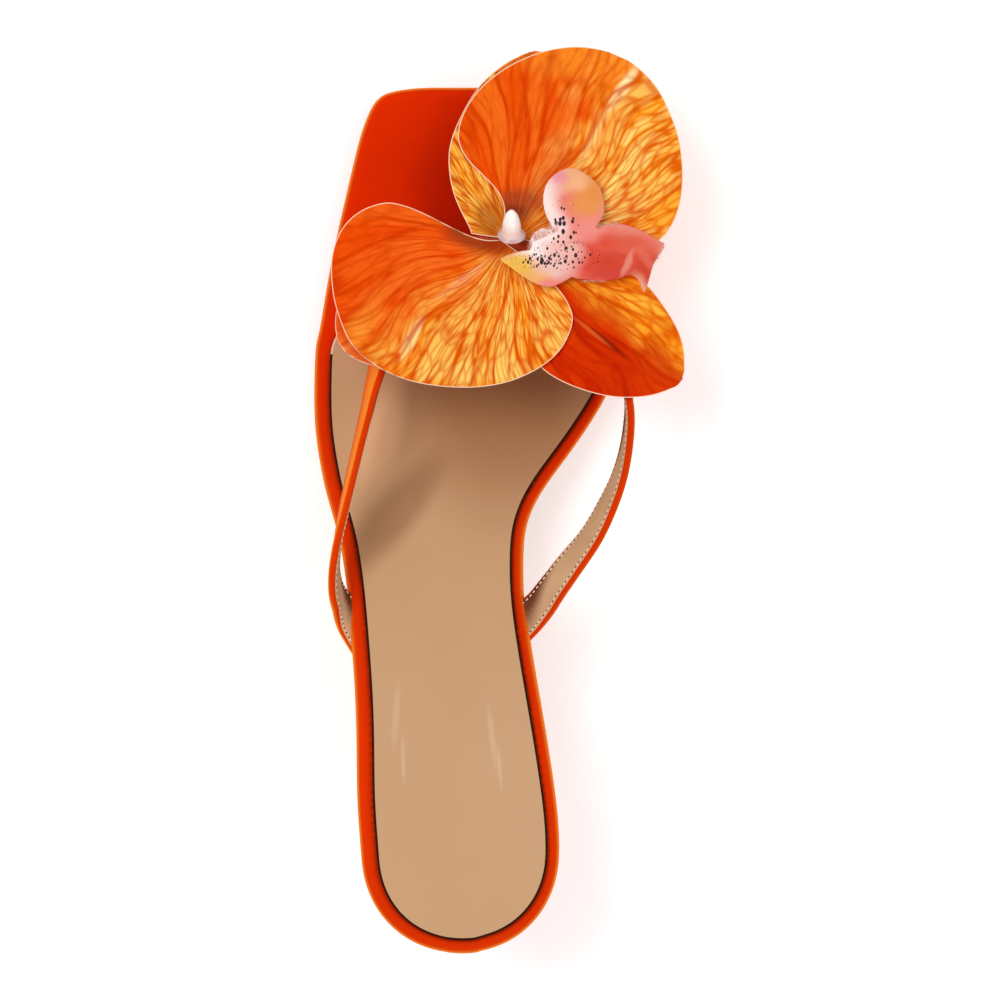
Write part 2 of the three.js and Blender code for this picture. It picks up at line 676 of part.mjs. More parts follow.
// A strap swept along its route, wider all round by the slack
function strapGeometry(rows, side, slack) {
  const points = rows.map((row) => {
    const x = row.across * BALL_WIDTH;
    const y = row.along * LENGTH;
    const laid = footbedUnder(0, y) + STRAP_THICK / 2;
    return new THREE.Vector3(x, y, laid + row.above * STRAP_RISE);
  });
  const route = new THREE.CatmullRomCurve3(points, false, 'centripetal');
  const tilts = rows.map((row, i) => ({ at: i, tilt: row.tilt }));
  const wide = STRAP_WIDTH / 2 + slack;
  const thick = STRAP_THICK / 2 + slack;
  const round = STRAP_ROUND;
  const section = [
    [-wide + round, -thick],
    [wide - round, -thick],
    [wide, -thick + round],
    [wide, thick - round],
    [wide - round, thick],
    [-wide + round, thick],
    [-wide, thick - round],
    [-wide, -thick + round],
  ];
  const steps = (rows.length - 1) * STRAP_STEPS;
  const vertices = [];
  const faces = [];
  for (let i = 0; i <= steps; i += 1) {
    const centre = route.getPoint(i / steps);
    const along = route.getTangent(i / steps);
    const tilt = THREE.MathUtils.degToRad(valueAt(tilts, 'at', 'tilt', i / STRAP_STEPS));
    const up = new THREE.Vector3(0, 0, 1);
    up.addScaledVector(along, -up.dot(along)).normalize();
    const out = along.clone().cross(up).multiplyScalar(side);
    const width = up.multiplyScalar(Math.cos(tilt)).addScaledVector(out, Math.sin(tilt));
    const face = along.clone().cross(width);
    for (const [w, f] of section) {
      const point = centre.clone().addScaledVector(width, w).addScaledVector(face, f);
      vertices.push([point.x, point.y, point.z]);
    }
  }
  const ring = section.length;
  for (let i = 0; i < steps; i += 1) {
    for (let j = 0; j < ring; j += 1) {
      const a = i * ring + j;
      const b = i * ring + ((j + 1) % ring);
      faces.push([a, b, b + ring], [a, b + ring, a + ring]);
    }
  }
  for (let j = 1; j < ring - 1; j += 1) {
    faces.push([0, j + 1, j]);
    faces.push([steps * ring, steps * ring + j, steps * ring + j + 1]);
  }
  return geometryFrom(vertices, faces);
}

// The upper is both straps, joined where they cross
function upperSolid(slack) {
  const lateral = solidOf(strapGeometry(LATERAL_STRAP, -1, slack));
  const medial = solidOf(strapGeometry(MEDIAL_STRAP, 1, slack));
  return lateral.add(medial);
}

// Toe post: a narrow wrapped post, stacked ovals from the outsole up to the crossing
function postSolid(slack) {
  const x = POST_ACROSS * BALL_WIDTH;
  const y = POST_ALONG * LENGTH;
  const floor = footbedUnder(x, y) + GAP - slack;
  const shape = new THREE.Shape();
  shape.absellipse(0, 0, POST_WIDE / 2 + slack, POST_LONG / 2 + slack, 0, 2 * Math.PI);
  const geometry = new THREE.ExtrudeGeometry(shape, {
    depth: crossingHeight - floor,
    bevelEnabled: false,
    curveSegments: POST_SIDES,
  });
  geometry.translate(x, y, floor);
  return solidOf(geometry);
}

// Height of the flower's bowl over its claw, at a point turned with its petal
function bowlAt(x, y, turn) {
  const reach = (x * x + y * y) / (BOWL_RADIUS * BOWL_RADIUS);
  const ahead = x * Math.sin(turn) + y * Math.cos(turn);
  return BOWL_RISE * reach - BOWL_SLOPE * ahead;
}

// The flower stands on the crossing of the straps
const crossingHeight = footbedUnder(POST_ACROSS * BALL_WIDTH, POST_ALONG * LENGTH)
  + STRAP_THICK / 2 + CROSSING * STRAP_RISE;
const flowerX = FLOWER_ACROSS * BALL_WIDTH;
const flowerY = FLOWER_ALONG * LENGTH;
const flowerZ = crossingHeight + FLOWER_STAND;
const petalStep = PETAL_THICK + GAP;

// A petal as a thin curved shell over its rows, built along +Y from the claw
function petalGeometry(petal, base, across) {
  const turn = THREE.MathUtils.degToRad(petal.turn - 90);
  const rows = petal.rows.map((row) => ({
    y: row.reach * petal.length,
    left: -row.left * petal.breadth,
    right: row.right * petal.breadth,
  }));
  const widest = petal.breadth / 2;
  const underAt = (x, y) => {
    const reach = y / petal.length;
    const side = x / widest;
    const own = petal.lift * reach * reach + petal.curl * side * side * reach;
    return base + bowlAt(x, y, turn) + BOWL_RISE * own;
  };
  const overAt = (x, y) => underAt(x, y) + PETAL_THICK;
  const outline = loopOf(pairsThrough(rows, petal.steps), across);
  const loops = [underAt, overAt].map((heightAt) => outline.map((point) => {
    return new THREE.Vector3(point.x, point.y, heightAt(point.x, point.y));
  }));
  return solidThrough(loops, underAt, overAt, across);
}

function lipGeometry() {
  const lobes = [LOBE_FRONT, LOBE_LATERAL, LOBE_MEDIAL, LOBE_BACK].map((lobe) => {
    const geometry = petalGeometry(lobe, 0, LOBE_ACROSS);
    geometry.rotateZ(THREE.MathUtils.degToRad(lobe.turn - 90));
    return solidOf(geometry);
  });
  const throat = new THREE.SphereGeometry(THROAT.radius, THROAT.sides, THROAT.rings);
  throat.scale(1, THROAT.long, THROAT.high);
  throat.translate(0, 0, PETAL_THICK);
  return geometryOf(lobes.reduce((whole, lobe) => whole.add(lobe), solidOf(throat)));
}

// The column is a blunt cone that leans to the toe from a small saucer
function columnGeometry() {
  const points = COLUMN_PROFILE.map((row) => {
    return new THREE.Vector2(row.radius * COLUMN_RADIUS, row.height * COLUMN_LENGTH);
  });
  const geometry = new THREE.LatheGeometry(points, COLUMN_SIDES);
  geometry.rotateX(Math.PI / 2 - THREE.MathUtils.degToRad(COLUMN_LEAN));
  return geometry;
}

function baseSolid() {
  const disc = new THREE.CylinderGeometry(BASE_RADIUS, BASE_RADIUS, BASE_THICK, BASE_SIDES);
  disc.rotateX(Math.PI / 2);
  disc.translate(0, 0, -GAP - BASE_THICK / 2);
  disc.rotateX(-Math.atan(BOWL_SLOPE));
  disc.translate(flowerX, flowerY, flowerZ);
  return solidOf(disc);
}

// Finishes
const satin = new THREE.MeshStandardMaterial({ color: '#dd2c03', roughness: 0.45, metalness: 0 });
const leather = new THREE.MeshStandardMaterial({ color: '#c8976c', roughness: 0.6, metalness: 0 });
const sole = new THREE.MeshStandardMaterial({ color: '#b58a62', roughness: 0.7, metalness: 0 });
const rubber = new THREE.MeshStandardMaterial({ color: '#2a2220', roughness: 0.8, metalness: 0 });
const orange = new THREE.MeshStandardMaterial({ color: '#f0701a', roughness: 0.7, metalness: 0 });
const amber = new THREE.MeshStandardMaterial({ color: '#e04a0c', roughness: 0.7, metalness: 0 });
const pink = new THREE.MeshStandardMaterial({ color: '#eb9586', roughness: 0.7, metalness: 0 });
const cream = new THREE.MeshStandardMaterial({ color: '#f2dccb', roughness: 0.5, metalness: 0 });

function named(name, geometry, material) {
  const mesh = new THREE.Mesh(geometry, material);
  mesh.name = name;
  return mesh;
}

function petalMesh(name, petal, material) {
  const base = petal.layer * petalStep;
  const mesh = named(name, petalGeometry(petal, base, PETAL_ACROSS), material);
  mesh.position.set(flowerX, flowerY, flowerZ);
  mesh.rotation.z = THREE.MathUtils.degToRad(petal.turn - 90);
  return mesh;
}

const upper = upperSolid(0);
const upperRoom = upperSolid(GAP);
const footbed = solidOf(footbedGeometry()).subtract(upperRoom).subtract(postSolid(GAP));
const outsole = solidOf(outsoleGeometry()).subtract(upperRoom);
const post = postSolid(0).subtract(upperRoom);
const flowerBase = baseSolid().subtract(upperRoom);

const lip = named('lip', lipGeometry(), pink);
const petalsTop = flowerZ + 2 * petalStep;
lip.position.set(flowerX + LIP_OFFSET.across, flowerY + LIP_OFFSET.along, petalsTop + LIP_HEIGHT);

const column = named('column', columnGeometry(), cream);
column.position.set(flowerX, flowerY + COLUMN_OFFSET, petalsTop + COLUMN_RADIUS);

const shoe = new THREE.Group();
shoe.add(
  named('footbed', geometryOf(footbed), satin),
  named('sock_lining', sockGeometry(), leather),
  named('outsole', geometryOf(outsole), sole),
  named('heel', heelGeometry(), satin),
  named('top_piece', topPieceGeometry(), rubber),
  named('upper', geometryOf(upper), satin),
  named('toe_post', geometryOf(post), satin),
  named('flower_base', geometryOf(flowerBase), amber),
  petalMesh('sepal_front', SEPAL_FRONT, orange),
  petalMesh('sepal_lateral', SEPAL_LATERAL, amber),
  petalMesh('sepal_medial', SEPAL_MEDIAL, amber),
  petalMesh('petal_front', PETAL_FRONT, orange),
  petalMesh('petal_lateral', PETAL_LATERAL, orange),
  lip,
  column,
);

// The origin is under the middle of the whole shoe, on the floor
const box = new THREE.Box3().setFromObject(shoe, true);
const centre = box.getCenter(new THREE.Vector3());
shoe.position.set(-centre.x, -centre.y, -box.min.z);

export default shoe;
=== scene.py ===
"""Toe-post mule sandal with a fabric orchid, left shoe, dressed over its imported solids."""
import math
import random

import bpy
from mathutils import Matrix, Vector
from mathutils.kdtree import KDTree


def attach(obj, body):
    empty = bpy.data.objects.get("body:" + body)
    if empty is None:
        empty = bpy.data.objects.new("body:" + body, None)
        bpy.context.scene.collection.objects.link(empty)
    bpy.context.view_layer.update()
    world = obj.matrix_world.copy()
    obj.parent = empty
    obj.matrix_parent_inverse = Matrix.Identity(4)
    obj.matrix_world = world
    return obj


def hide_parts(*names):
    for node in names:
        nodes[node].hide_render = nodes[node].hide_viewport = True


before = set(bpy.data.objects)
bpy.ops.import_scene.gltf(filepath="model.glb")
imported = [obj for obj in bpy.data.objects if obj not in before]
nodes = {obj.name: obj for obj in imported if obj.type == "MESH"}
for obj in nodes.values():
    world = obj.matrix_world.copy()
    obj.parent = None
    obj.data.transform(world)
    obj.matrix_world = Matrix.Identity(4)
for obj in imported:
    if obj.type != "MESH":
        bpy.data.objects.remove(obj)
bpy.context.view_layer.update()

# A millimetre in metres, and what one cell to a millimetre is as a pattern's scale
MM = 0.001
PER_MM = 1000
# Scale times the distance of two bands on a wave texture, straight and diagonal
BANDS = 0.314
DIAGONAL_BANDS = 0.63

# The shoe's own sizes, in millimetres from the back of the seat, as in the solids
LENGTH = 236
BALL_WIDTH = 85
HEEL_RISE = 50
STRAP_WIDTH = 10
STRAP_THICK = 2
STRAP_RISE = 25
UNDER_FOOTBED = 2.3
COLUMN_LEAN = 50
SHOE_CENTRE = Vector((9.59, 123.0, 0))
FLOWER = Vector((13.26, 192.93, 28.26))
LIP = FLOWER + Vector((17, -5, 4.7))
COLUMN_FOOT = FLOWER + Vector((0, 1, 5))
# Points of a solid that are nearer than this are one, and how wide a cut edge looks from above
MERGE = 0.02
CUT_EDGE = 0.24

# Underside of the shoe: rise as a share of the heel's rise
PROFILE = [(0, 1), (0.1, 0.965), (0.2, 0.905), (0.3, 0.79), (0.4, 0.6), (0.5, 0.375), (0.58, 0.195),
           (0.64, 0.075), (0.69, 0.012), (0.72, 0), (0.8, 0), (1, 0)]

# Strap routes from root to crossing: along, across, above, tilt
LATERAL_STRAP = [
    (0.337, -0.278, 0, 77), (0.36, -0.32, 0, 77), (0.379, -0.354, 0.045, 64), (0.395, -0.383, 0.15, 38),
    (0.412, -0.404, 0.31, 18), (0.435, -0.411, 0.48, 6), (0.466, -0.402, 0.655, 0),
    (0.506, -0.38, 0.8, -6), (0.546, -0.356, 0.9, -9), (0.581, -0.334, 0.96, -10),
    (0.615, -0.312, 0.98, -12), (0.65, -0.29, 1, -16), (0.697, -0.25, 1, -30), (0.743, -0.18, 0.93, -46),
    (0.78, -0.085, 0.87, -62), (0.802, 0.04, 0.83, -76), (0.812, 0.165, 0.81, -84), (0.815, 0.235, 0.8, -86),
]
MEDIAL_STRAP = [
    (0.348, 0.104, 0, 72), (0.37, 0.176, 0, 72), (0.383, 0.212, 0.045, 68), (0.397, 0.249, 0.14, 56),
    (0.416, 0.287, 0.29, 48), (0.441, 0.338, 0.47, 43), (0.477, 0.412, 0.7, 33), (0.512, 0.463, 0.87, 25),
    (0.546, 0.501, 0.98, 16), (0.581, 0.524, 1.05, 9), (0.615, 0.533, 1.07, 4), (0.65, 0.527, 1.05, -8),
    (0.691, 0.502, 1, -25), (0.731, 0.448, 0.95, -42), (0.766, 0.371, 0.9, -58),
    (0.796, 0.265, 0.85, -72), (0.812, 0.165, 0.81, -82), (0.82, 0.1, 0.79, -86),
]


def place(x, y, z=0):
    """A point in the shoe's millimetres as a point in the frame's metres."""
    return (Vector((x, y, z)) - SHOE_CENTRE) * MM


# Making and shaping

def in_scene(name, data):
    """A new object with this data, in the scene."""
    thing = bpy.data.objects.new(name, data)
    bpy.context.scene.collection.objects.link(thing)
    return thing


def select_only(*pieces):
    """These pieces alone are selected, the first of them active."""
    bpy.ops.object.select_all(action="DESELECT")
    for piece in pieces:
        piece.select_set(True)
    bpy.context.view_layer.objects.active = pieces[0]


def copy_of(node, name, flat=40):
    """A merged copy of one solid, its triangles paired, ready for its finish."""
    piece = in_scene(name, nodes[node].data.copy())
    piece.data.materials.clear()
    select_only(piece)
    bpy.ops.object.mode_set(mode="EDIT")
    bpy.ops.mesh.select_all(action="SELECT")
    bpy.ops.mesh.remove_doubles(threshold=MERGE * MM)
    flatness = math.radians(flat)
    bpy.ops.mesh.tris_convert_to_quads(face_threshold=flatness, shape_threshold=flatness)
    bpy.ops.mesh.select_all(action="DESELECT")
    bpy.ops.object.mode_set(mode="OBJECT")
    return piece


def choose_faces(piece, test):
    """Selects the faces whose centre and normal pass the test, and stays in edit mode."""
    bpy.ops.object.mode_set(mode="EDIT")
    bpy.ops.mesh.select_mode(type="FACE")
    bpy.ops.mesh.select_all(action="DESELECT")
    bpy.ops.object.mode_set(mode="OBJECT")
    for face in piece.data.polygons:
        face.select = test(face.center, face.normal)
    bpy.ops.object.mode_set(mode="EDIT")


def border(piece, width, test, inner, outer):
    """Insets the sheet that passes the test, and gives its middle and its border their finishes."""
    select_only(piece)
    choose_faces(piece, test)
    bpy.ops.mesh.inset(thickness=width, depth=0)
    bpy.ops.object.mode_set(mode="OBJECT")
    for face in piece.data.polygons:
        if face.select:
            face.material_index = inner
        elif test(face.center, face.normal):
            face.material_index = outer


def modify(piece, kind, **settings):
    """Adds a modifier with its settings and applies it."""
    modifier = piece.modifiers.new(kind.lower(), kind)
    for key, value in settings.items():
        setattr(modifier, key, value)
    select_only(piece)
    bpy.ops.object.modifier_apply(modifier=modifier.name)


def shade_smooth(piece, angle=40):
    """Shades a piece smooth, apart from edges sharper than the angle."""
    select_only(piece)
    bpy.ops.object.shade_smooth_by_angle(angle=math.radians(angle))


def round_off(piece, levels, sharp, smooth=40):
    """Subdivides a piece smooth between its sharp edges."""
    select_only(piece)
    bpy.ops.object.mode_set(mode="EDIT")
    bpy.ops.mesh.select_mode(type="EDGE")
    bpy.ops.mesh.select_all(action="DESELECT")
    bpy.ops.mesh.edges_select_sharp(sharpness=math.radians(sharp))
    bpy.ops.transform.edge_crease(value=1)
    bpy.ops.mesh.select_all(action="DESELECT")
    bpy.ops.object.mode_set(mode="OBJECT")
    modify(piece, "SUBSURF", levels=levels, render_levels=levels)
    shade_smooth(piece, smooth)


def press(piece, marks):
    """Presses lines into a piece, deeper as they run: start, end, depth and spread in millimetres."""
    for start, end, depth, spread in marks:
        a = place(*start)
        run = place(*end) - a
        for vertex in piece.data.vertices:
            share = min(1, max(0, (vertex.co - a).xy.dot(run.xy) / run.xy.length_squared))
            away = (vertex.co.xy - (a + run * share).xy).length / (spread * MM)
            vertex.co.z -= depth * MM * min(1, 2 * share) * math.exp(-away * away)


def seen_from_above(spots):
    """A search tree of points by their places seen from above."""
    found = KDTree(len(spots))
    for index, spot in enumerate(spots):
        found.insert((spot.x, spot.y, 0), index)
    found.balance()
    return found


def worn_by(piece, slot, *replaced):
    """The piece rides on the shoe and stands for the solids that it covers; its slot is not used."""
    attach(piece, "root")
    if replaced:
        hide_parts(*replaced)


# Finishes

def paint(code):
    """An sRGB hex value as a linear colour."""
    parts = [int(code[i:i + 2], 16) / 255 for i in (1, 3, 5)]
    return (*(c / 12.92 if c <= 0.04045 else ((c + 0.055) / 1.055) ** 2.4 for c in parts), 1)


def add(tree, kind, inputs, out=0, **settings):
    """Adds a node with its settings and its set or linked inputs, and gives one output."""
    node = tree.nodes.new("ShaderNode" + kind)
    for key, value in settings.items():
        setattr(node, key, value)
    for key, value in inputs.items():
        if isinstance(value, bpy.types.NodeSocket):
            tree.links.new(value, node.inputs[key])
        else:
            node.inputs[key].default_value = value
    return node.outputs[out]


def material(name, **sockets):
    """A new material and its shader, with the sockets that are the same all over."""
    finish = bpy.data.materials.new(name)
    finish.use_nodes = True
    tree = finish.node_tree
    shader = tree.nodes["Principled BSDF"]
    for key, value in sockets.items():
        shader.inputs[key.replace("_", " ")].default_value = value
    return finish, tree, shader


# How far in from its edge an oval is full
OVAL_FULL = 0.7


def washed(tree, where, colour, washes):
    """Soft oval washes over a colour: middle, turn, half length, half width, tone and strength."""
    for middle, turn, long, wide, tone, strength in washes:
        at = add(tree, "Mapping", {
            "Vector": where, "Location": place(*middle), "Rotation": (0, 0, math.radians(turn)),
            "Scale": (long * MM, wide * MM, 1)}, vector_type="TEXTURE")
        oval = add(tree, "TexGradient", {0: at}, 1, gradient_type="SPHERICAL")
        soft = add(tree, "MapRange", {"Value": oval, "From Max": OVAL_FULL, "To Max": strength},
                   interpolation_type="SMOOTHSTEP")
        colour = add(tree, "Mix", {0: soft, 6: colour, 7: paint(tone)}, 2, data_type="RGBA")
    return colour


# Satin's colour runs between these places along the shoe, in millimetres from its middle
SEAT_AT = -120
TOES_AT = 100
# Painted highlight at an edge's turn, by the normal's rise: how soon it is full, and where it fades on a wall
GLOW_GROWS = 0.5
GLOW_FADES = (0.05, 0.45)
# On a strap the painted highlight is full where the normal's side part times the place is this much in
# metres, and between these heights from the strap's middle it rises
GLOW_OUTWARDS = 0.012
GLOW_RISES = (-4.5, 2)


def dress_satin(name, coordinates, heel_colour, toe_colour, glow, glow_from, washes):
    """Polyester dress satin: long floats over a fine diagonal weave, with a painted highlight at edges."""
    finish, tree, shader = material(
        name, Roughness=0.5, Metallic=0.15, Sheen_Weight=0.9, Sheen_Roughness=0.3,
        Sheen_Tint=paint("#ff7a12"), Specular_IOR_Level=0.06, Specular_Tint=paint("#ff7a1c"))
    where = add(tree, "TexCoord", {}, coordinates)
    on_shoe = add(tree, "TexCoord", {}, "Object")
    along = add(tree, "SeparateXYZ", {0: on_shoe}, 1)
    far = add(tree, "MapRange", {"Value": along, "From Min": SEAT_AT * MM, "From Max": TOES_AT * MM})
    ground = add(tree, "Mix", {0: far, 6: paint(heel_colour), 7: paint(toe_colour)}, 2, data_type="RGBA")
    base = washed(tree, on_shoe, ground, washes)
    # Painted highlight: a lighter orange where the surface turns over an edge
    facing = add(tree, "TexCoord", {}, "Normal")
    up = add(tree, "SeparateXYZ", {0: facing}, 2)
    over = add(tree, "MapRange", {"Value": up, "From Min": glow_from, "From Max": glow_from - GLOW_GROWS,
                                  "To Max": glow}, interpolation_type="SMOOTHSTEP")
    if coordinates == "UV":
        # On a strap, the painted highlight lies on the outer face alone, and most of all on its upper half
        faces = add(tree, "SeparateXYZ", {0: facing}, 0)
        lies = add(tree, "SeparateXYZ", {0: on_shoe}, 0)
        sideways = add(tree, "Math", {0: faces, 1: lies}, operation="MULTIPLY")
        outside = add(tree, "MapRange", {"Value": sideways, "From Max": GLOW_OUTWARDS})
        across = add(tree, "SeparateXYZ", {0: where}, 1)
        upper = add(tree, "MapRange", {"Value": across, "From Min": GLOW_RISES[0] * MM,
                                       "From Max": GLOW_RISES[1] * MM, "To Min": 0.2},
                    interpolation_type="SMOOTHSTEP")
        within = add(tree, "Math", {0: outside, 1: upper}, operation="MULTIPLY")
    else:
        within = add(tree, "MapRange", {"Value": up, "From Min": GLOW_FADES[0], "From Max": GLOW_FADES[1]},
                     interpolation_type="SMOOTHSTEP")
    highlight_share = add(tree, "Math", {0: over, 1: within}, operation="MULTIPLY")
    highlighted = add(tree, "Mix", {0: highlight_share, 6: base, 7: paint("#ff901e")}, 2, data_type="RGBA")
    # Painted shade: darker next to the sock's edge, where the sock shades the satin
    painted_sock_shade = add(tree, "Attribute", {}, "Fac", attribute_name="painted_sock_shade")
    sock_shade_share = add(tree, "MapRange", {"Value": painted_sock_shade, "To Max": 0.85})
    with_sock_shade = add(tree, "Mix", {0: sock_shade_share, 6: highlighted, 7: paint("#7a0c02")}, 2, data_type="RGBA")
    # Threads are 0.1 mm apart on the real cloth, drawn at 0.7 mm so that they show, with slubs of 4 mm
    weave = add(tree, "TexWave", {"Vector": where, "Scale": DIAGONAL_BANDS / (0.7 * MM), "Distortion": 0.6,
                                  "Detail": 1}, 1, bands_direction="DIAGONAL")
    slub = add(tree, "TexNoise", {"Vector": where, "Scale": 0.26 * PER_MM, "Detail": 3})
    mixed = add(tree, "Math", {0: weave, 1: slub}, operation="MULTIPLY")
    shade = add(tree, "MapRange", {"Value": mixed, "To Min": 0.88, "To Max": 1.1})
    tinted = add(tree, "HueSaturation", {"Value": shade, "Color": with_sock_shade})
    tree.links.new(tinted, shader.inputs["Base Color"])
    bump = add(tree, "Bump", {"Strength": 0.1, "Distance": 0.06 * MM, "Height": mixed})
    tree.links.new(bump, shader.inputs["Normal"])
    gloss = add(tree, "MapRange", {"Value": slub, "To Min": 0.42, "To Max": 0.6})
    tree.links.new(gloss, shader.inputs["Roughness"])
    return finish


def sock_leather():
    """Vegetable-tanned lining leather, polished smooth, washed with painted shade, light and highlights."""
    finish, tree, shader = material("sock_tan_leather", Roughness=0.48, Specular_IOR_Level=0.3)
    where = add(tree, "TexCoord", {}, "Object")
    colour = washed(tree, where, paint("#c6996f"), [
        # Painted shade under the flower, and the lateral strap's painted shadow
        ((11, 152), 0, 38, 46, "#8c5628", 0.6), ((-18, 119), 52, 26, 8.5, "#7e4a24", 0.52),
        # Painted light: a lighter patch next to the strap's shadow
        ((-23, 139), 76, 22, 8, "#e4b184", 0.85),
        # Painted highlights: faint streaks of sheen on the seat
        ((-18, 64), 86, 13, 1.4, "#dcbc9a", 0.25), ((-16, 52), 92, 9, 0.8, "#e6caae", 0.25),
        ((8, 58), 97, 12, 1.2, "#dcbc9a", 0.3), ((10, 50), 94, 8, 0.7, "#e6caae", 0.25),
    ])
    # Pores and grain of about 0.5 mm, and clouds of 20 mm where the hide took the dye unevenly
    grain = add(tree, "TexVoronoi", {"Vector": where, "Scale": 1.9 * PER_MM}, feature="F1")
    cloud = add(tree, "TexNoise", {"Vector": where, "Scale": 0.045 * PER_MM, "Detail": 4})
    tone = add(tree, "MapRange", {"Value": cloud, "To Min": 0.95, "To Max": 1.05})
    tinted = add(tree, "HueSaturation", {"Value": tone, "Color": colour})
    tree.links.new(tinted, shader.inputs["Base Color"])
    bump = add(tree, "Bump", {"Strength": 0.08, "Distance": 0.05 * MM, "Height": grain})
    tree.links.new(bump, shader.inputs["Normal"])
    gloss = add(tree, "MapRange", {"Value": cloud, "To Min": 0.4, "To Max": 0.56})
    tree.links.new(gloss, shader.inputs["Roughness"])
    return finish


# Heights above the floor between which the painted shade at a strap's root fades
ROOT_SHADE = (36.6, 39.4)


def strap_leather():
    """Thin split lining leather on the inside of the straps: matt, with a short nap."""
    finish, tree, shader = material("strap_lining_leather", Roughness=0.65, Specular_IOR_Level=0.1)
    where = add(tree, "TexCoord", {}, "Object")
    # The nap's fibres lie in tufts of about 1 mm, and the dye in clouds of 8 mm
    nap = add(tree, "TexNoise", {"Vector": where, "Scale": 0.9 * PER_MM, "Detail": 4})
    cloud = add(tree, "TexNoise", {"Vector": where, "Scale": 0.12 * PER_MM, "Detail": 2})
    colour = add(tree, "Mix", {0: cloud, 6: paint("#c2936a"), 7: paint("#dcb189")}, 2, data_type="RGBA")
    # Painted shade, dark brown, where the strap goes under the footbed and its lining creases
    low = add(tree, "SeparateXYZ", {0: where}, 2)
    root = add(tree, "MapRange", {"Value": low, "From Min": ROOT_SHADE[0] * MM,
                                  "From Max": ROOT_SHADE[1] * MM, "To Min": 0.95, "To Max": 0},
               interpolation_type="SMOOTHSTEP")
    shaded = add(tree, "Mix", {0: root, 6: colour, 7: paint("#64280a")}, 2, data_type="RGBA")
    tree.links.new(shaded, shader.inputs["Base Color"])
    bump = add(tree, "Bump", {"Strength": 0.12, "Distance": 0.05 * MM, "Height": nap})
    tree.links.new(bump, shader.inputs["Normal"])
    return finish


def edge_ink():
    """Edge dye on cut leather: a dark brown wax that soaks in and dries half matt, in spots of 1.4 mm."""
    finish, tree, shader = material("brown_edge_ink", Roughness=0.6, Specular_IOR_Level=0.05)
    where = add(tree, "TexCoord", {}, "Object")
    soak = add(tree, "TexNoise", {"Vector": where, "Scale": 0.7 * PER_MM, "Detail": 3})
    colour = add(tree, "Mix", {0: soak, 6: paint("#1e0a04"), 7: paint("#40180a")}, 2, data_type="RGBA")
    tree.links.new(colour, shader.inputs["Base Color"])
    return finish


def cut_edge(name, dark, light):
    """A cut edge, felt or hair: short fibres of under 1 mm that catch the light."""
    finish, tree, shader = material(name, Roughness=0.7)
    where = add(tree, "TexCoord", {}, "Object")
    fibre = add(tree, "TexNoise", {"Vector": where, "Scale": 1.2 * PER_MM, "Detail": 3})
    colour = add(tree, "Mix", {0: fibre, 6: paint(dark), 7: paint(light)}, 2, data_type="RGBA")
    tree.links.new(colour, shader.inputs["Base Color"])
    return finish


def moulded_sole():
    """Moulded sole sheet with the look of leather: matt, with streaks 3 mm wide along the shoe."""
    finish, tree, shader = material("sole_moulded_sheet", Roughness=0.55)
    where = add(tree, "TexCoord", {}, "Object")
    stretch = add(tree, "Mapping", {"Vector": where, "Scale": (1, 0.25, 1)})
    streak = add(tree, "TexNoise", {"Vector": stretch, "Scale": 0.32 * PER_MM, "Detail": 5})
    colour = add(tree, "Mix", {0: streak, 6: paint("#9c7247"), 7: paint("#c79a6d")}, 2, data_type="RGBA")
    tree.links.new(colour, shader.inputs["Base Color"])
    bump = add(tree, "Bump", {"Strength": 0.2, "Distance": 0.1 * MM, "Height": streak})
    tree.links.new(bump, shader.inputs["Normal"])
    return finish


def heel_rubber():
    """Hard moulded rubber of a top piece, with fine ribs 1.2 mm apart."""
    finish, tree, shader = material("top_piece_rubber", Roughness=0.75, Specular_IOR_Level=0.3)
    where = add(tree, "TexCoord", {}, "Object")
    ribs = add(tree, "TexWave", {"Vector": where, "Scale": BANDS / (1.2 * MM)}, 1, bands_direction="Y")
    dust = add(tree, "TexNoise", {"Vector": where, "Scale": 0.6 * PER_MM, "Detail": 3})
    colour = add(tree, "Mix", {0: dust, 6: paint("#1d1716"), 7: paint("#3a302d")}, 2, data_type="RGBA")
    tree.links.new(colour, shader.inputs["Base Color"])
    bump = add(tree, "Bump", {"Strength": 0.4, "Distance": 0.2 * MM, "Height": ribs})
    tree.links.new(bump, shader.inputs["Normal"])
    return finish


# Veins of the petal print, bold to fine: cells to a radian and to a millimetre, width of the line,
# and how strong it is on the orange and on the gold
VEINS = [(5, 0.02, 0.09, 0.5, 0.8), (11, 0.06, 0.17, 0.3, 0.7), (23, 0.18, 0.24, 0.16, 0.5)]
# The fewer its veins, the deeper each is pressed
VEIN_DEPTH = 12


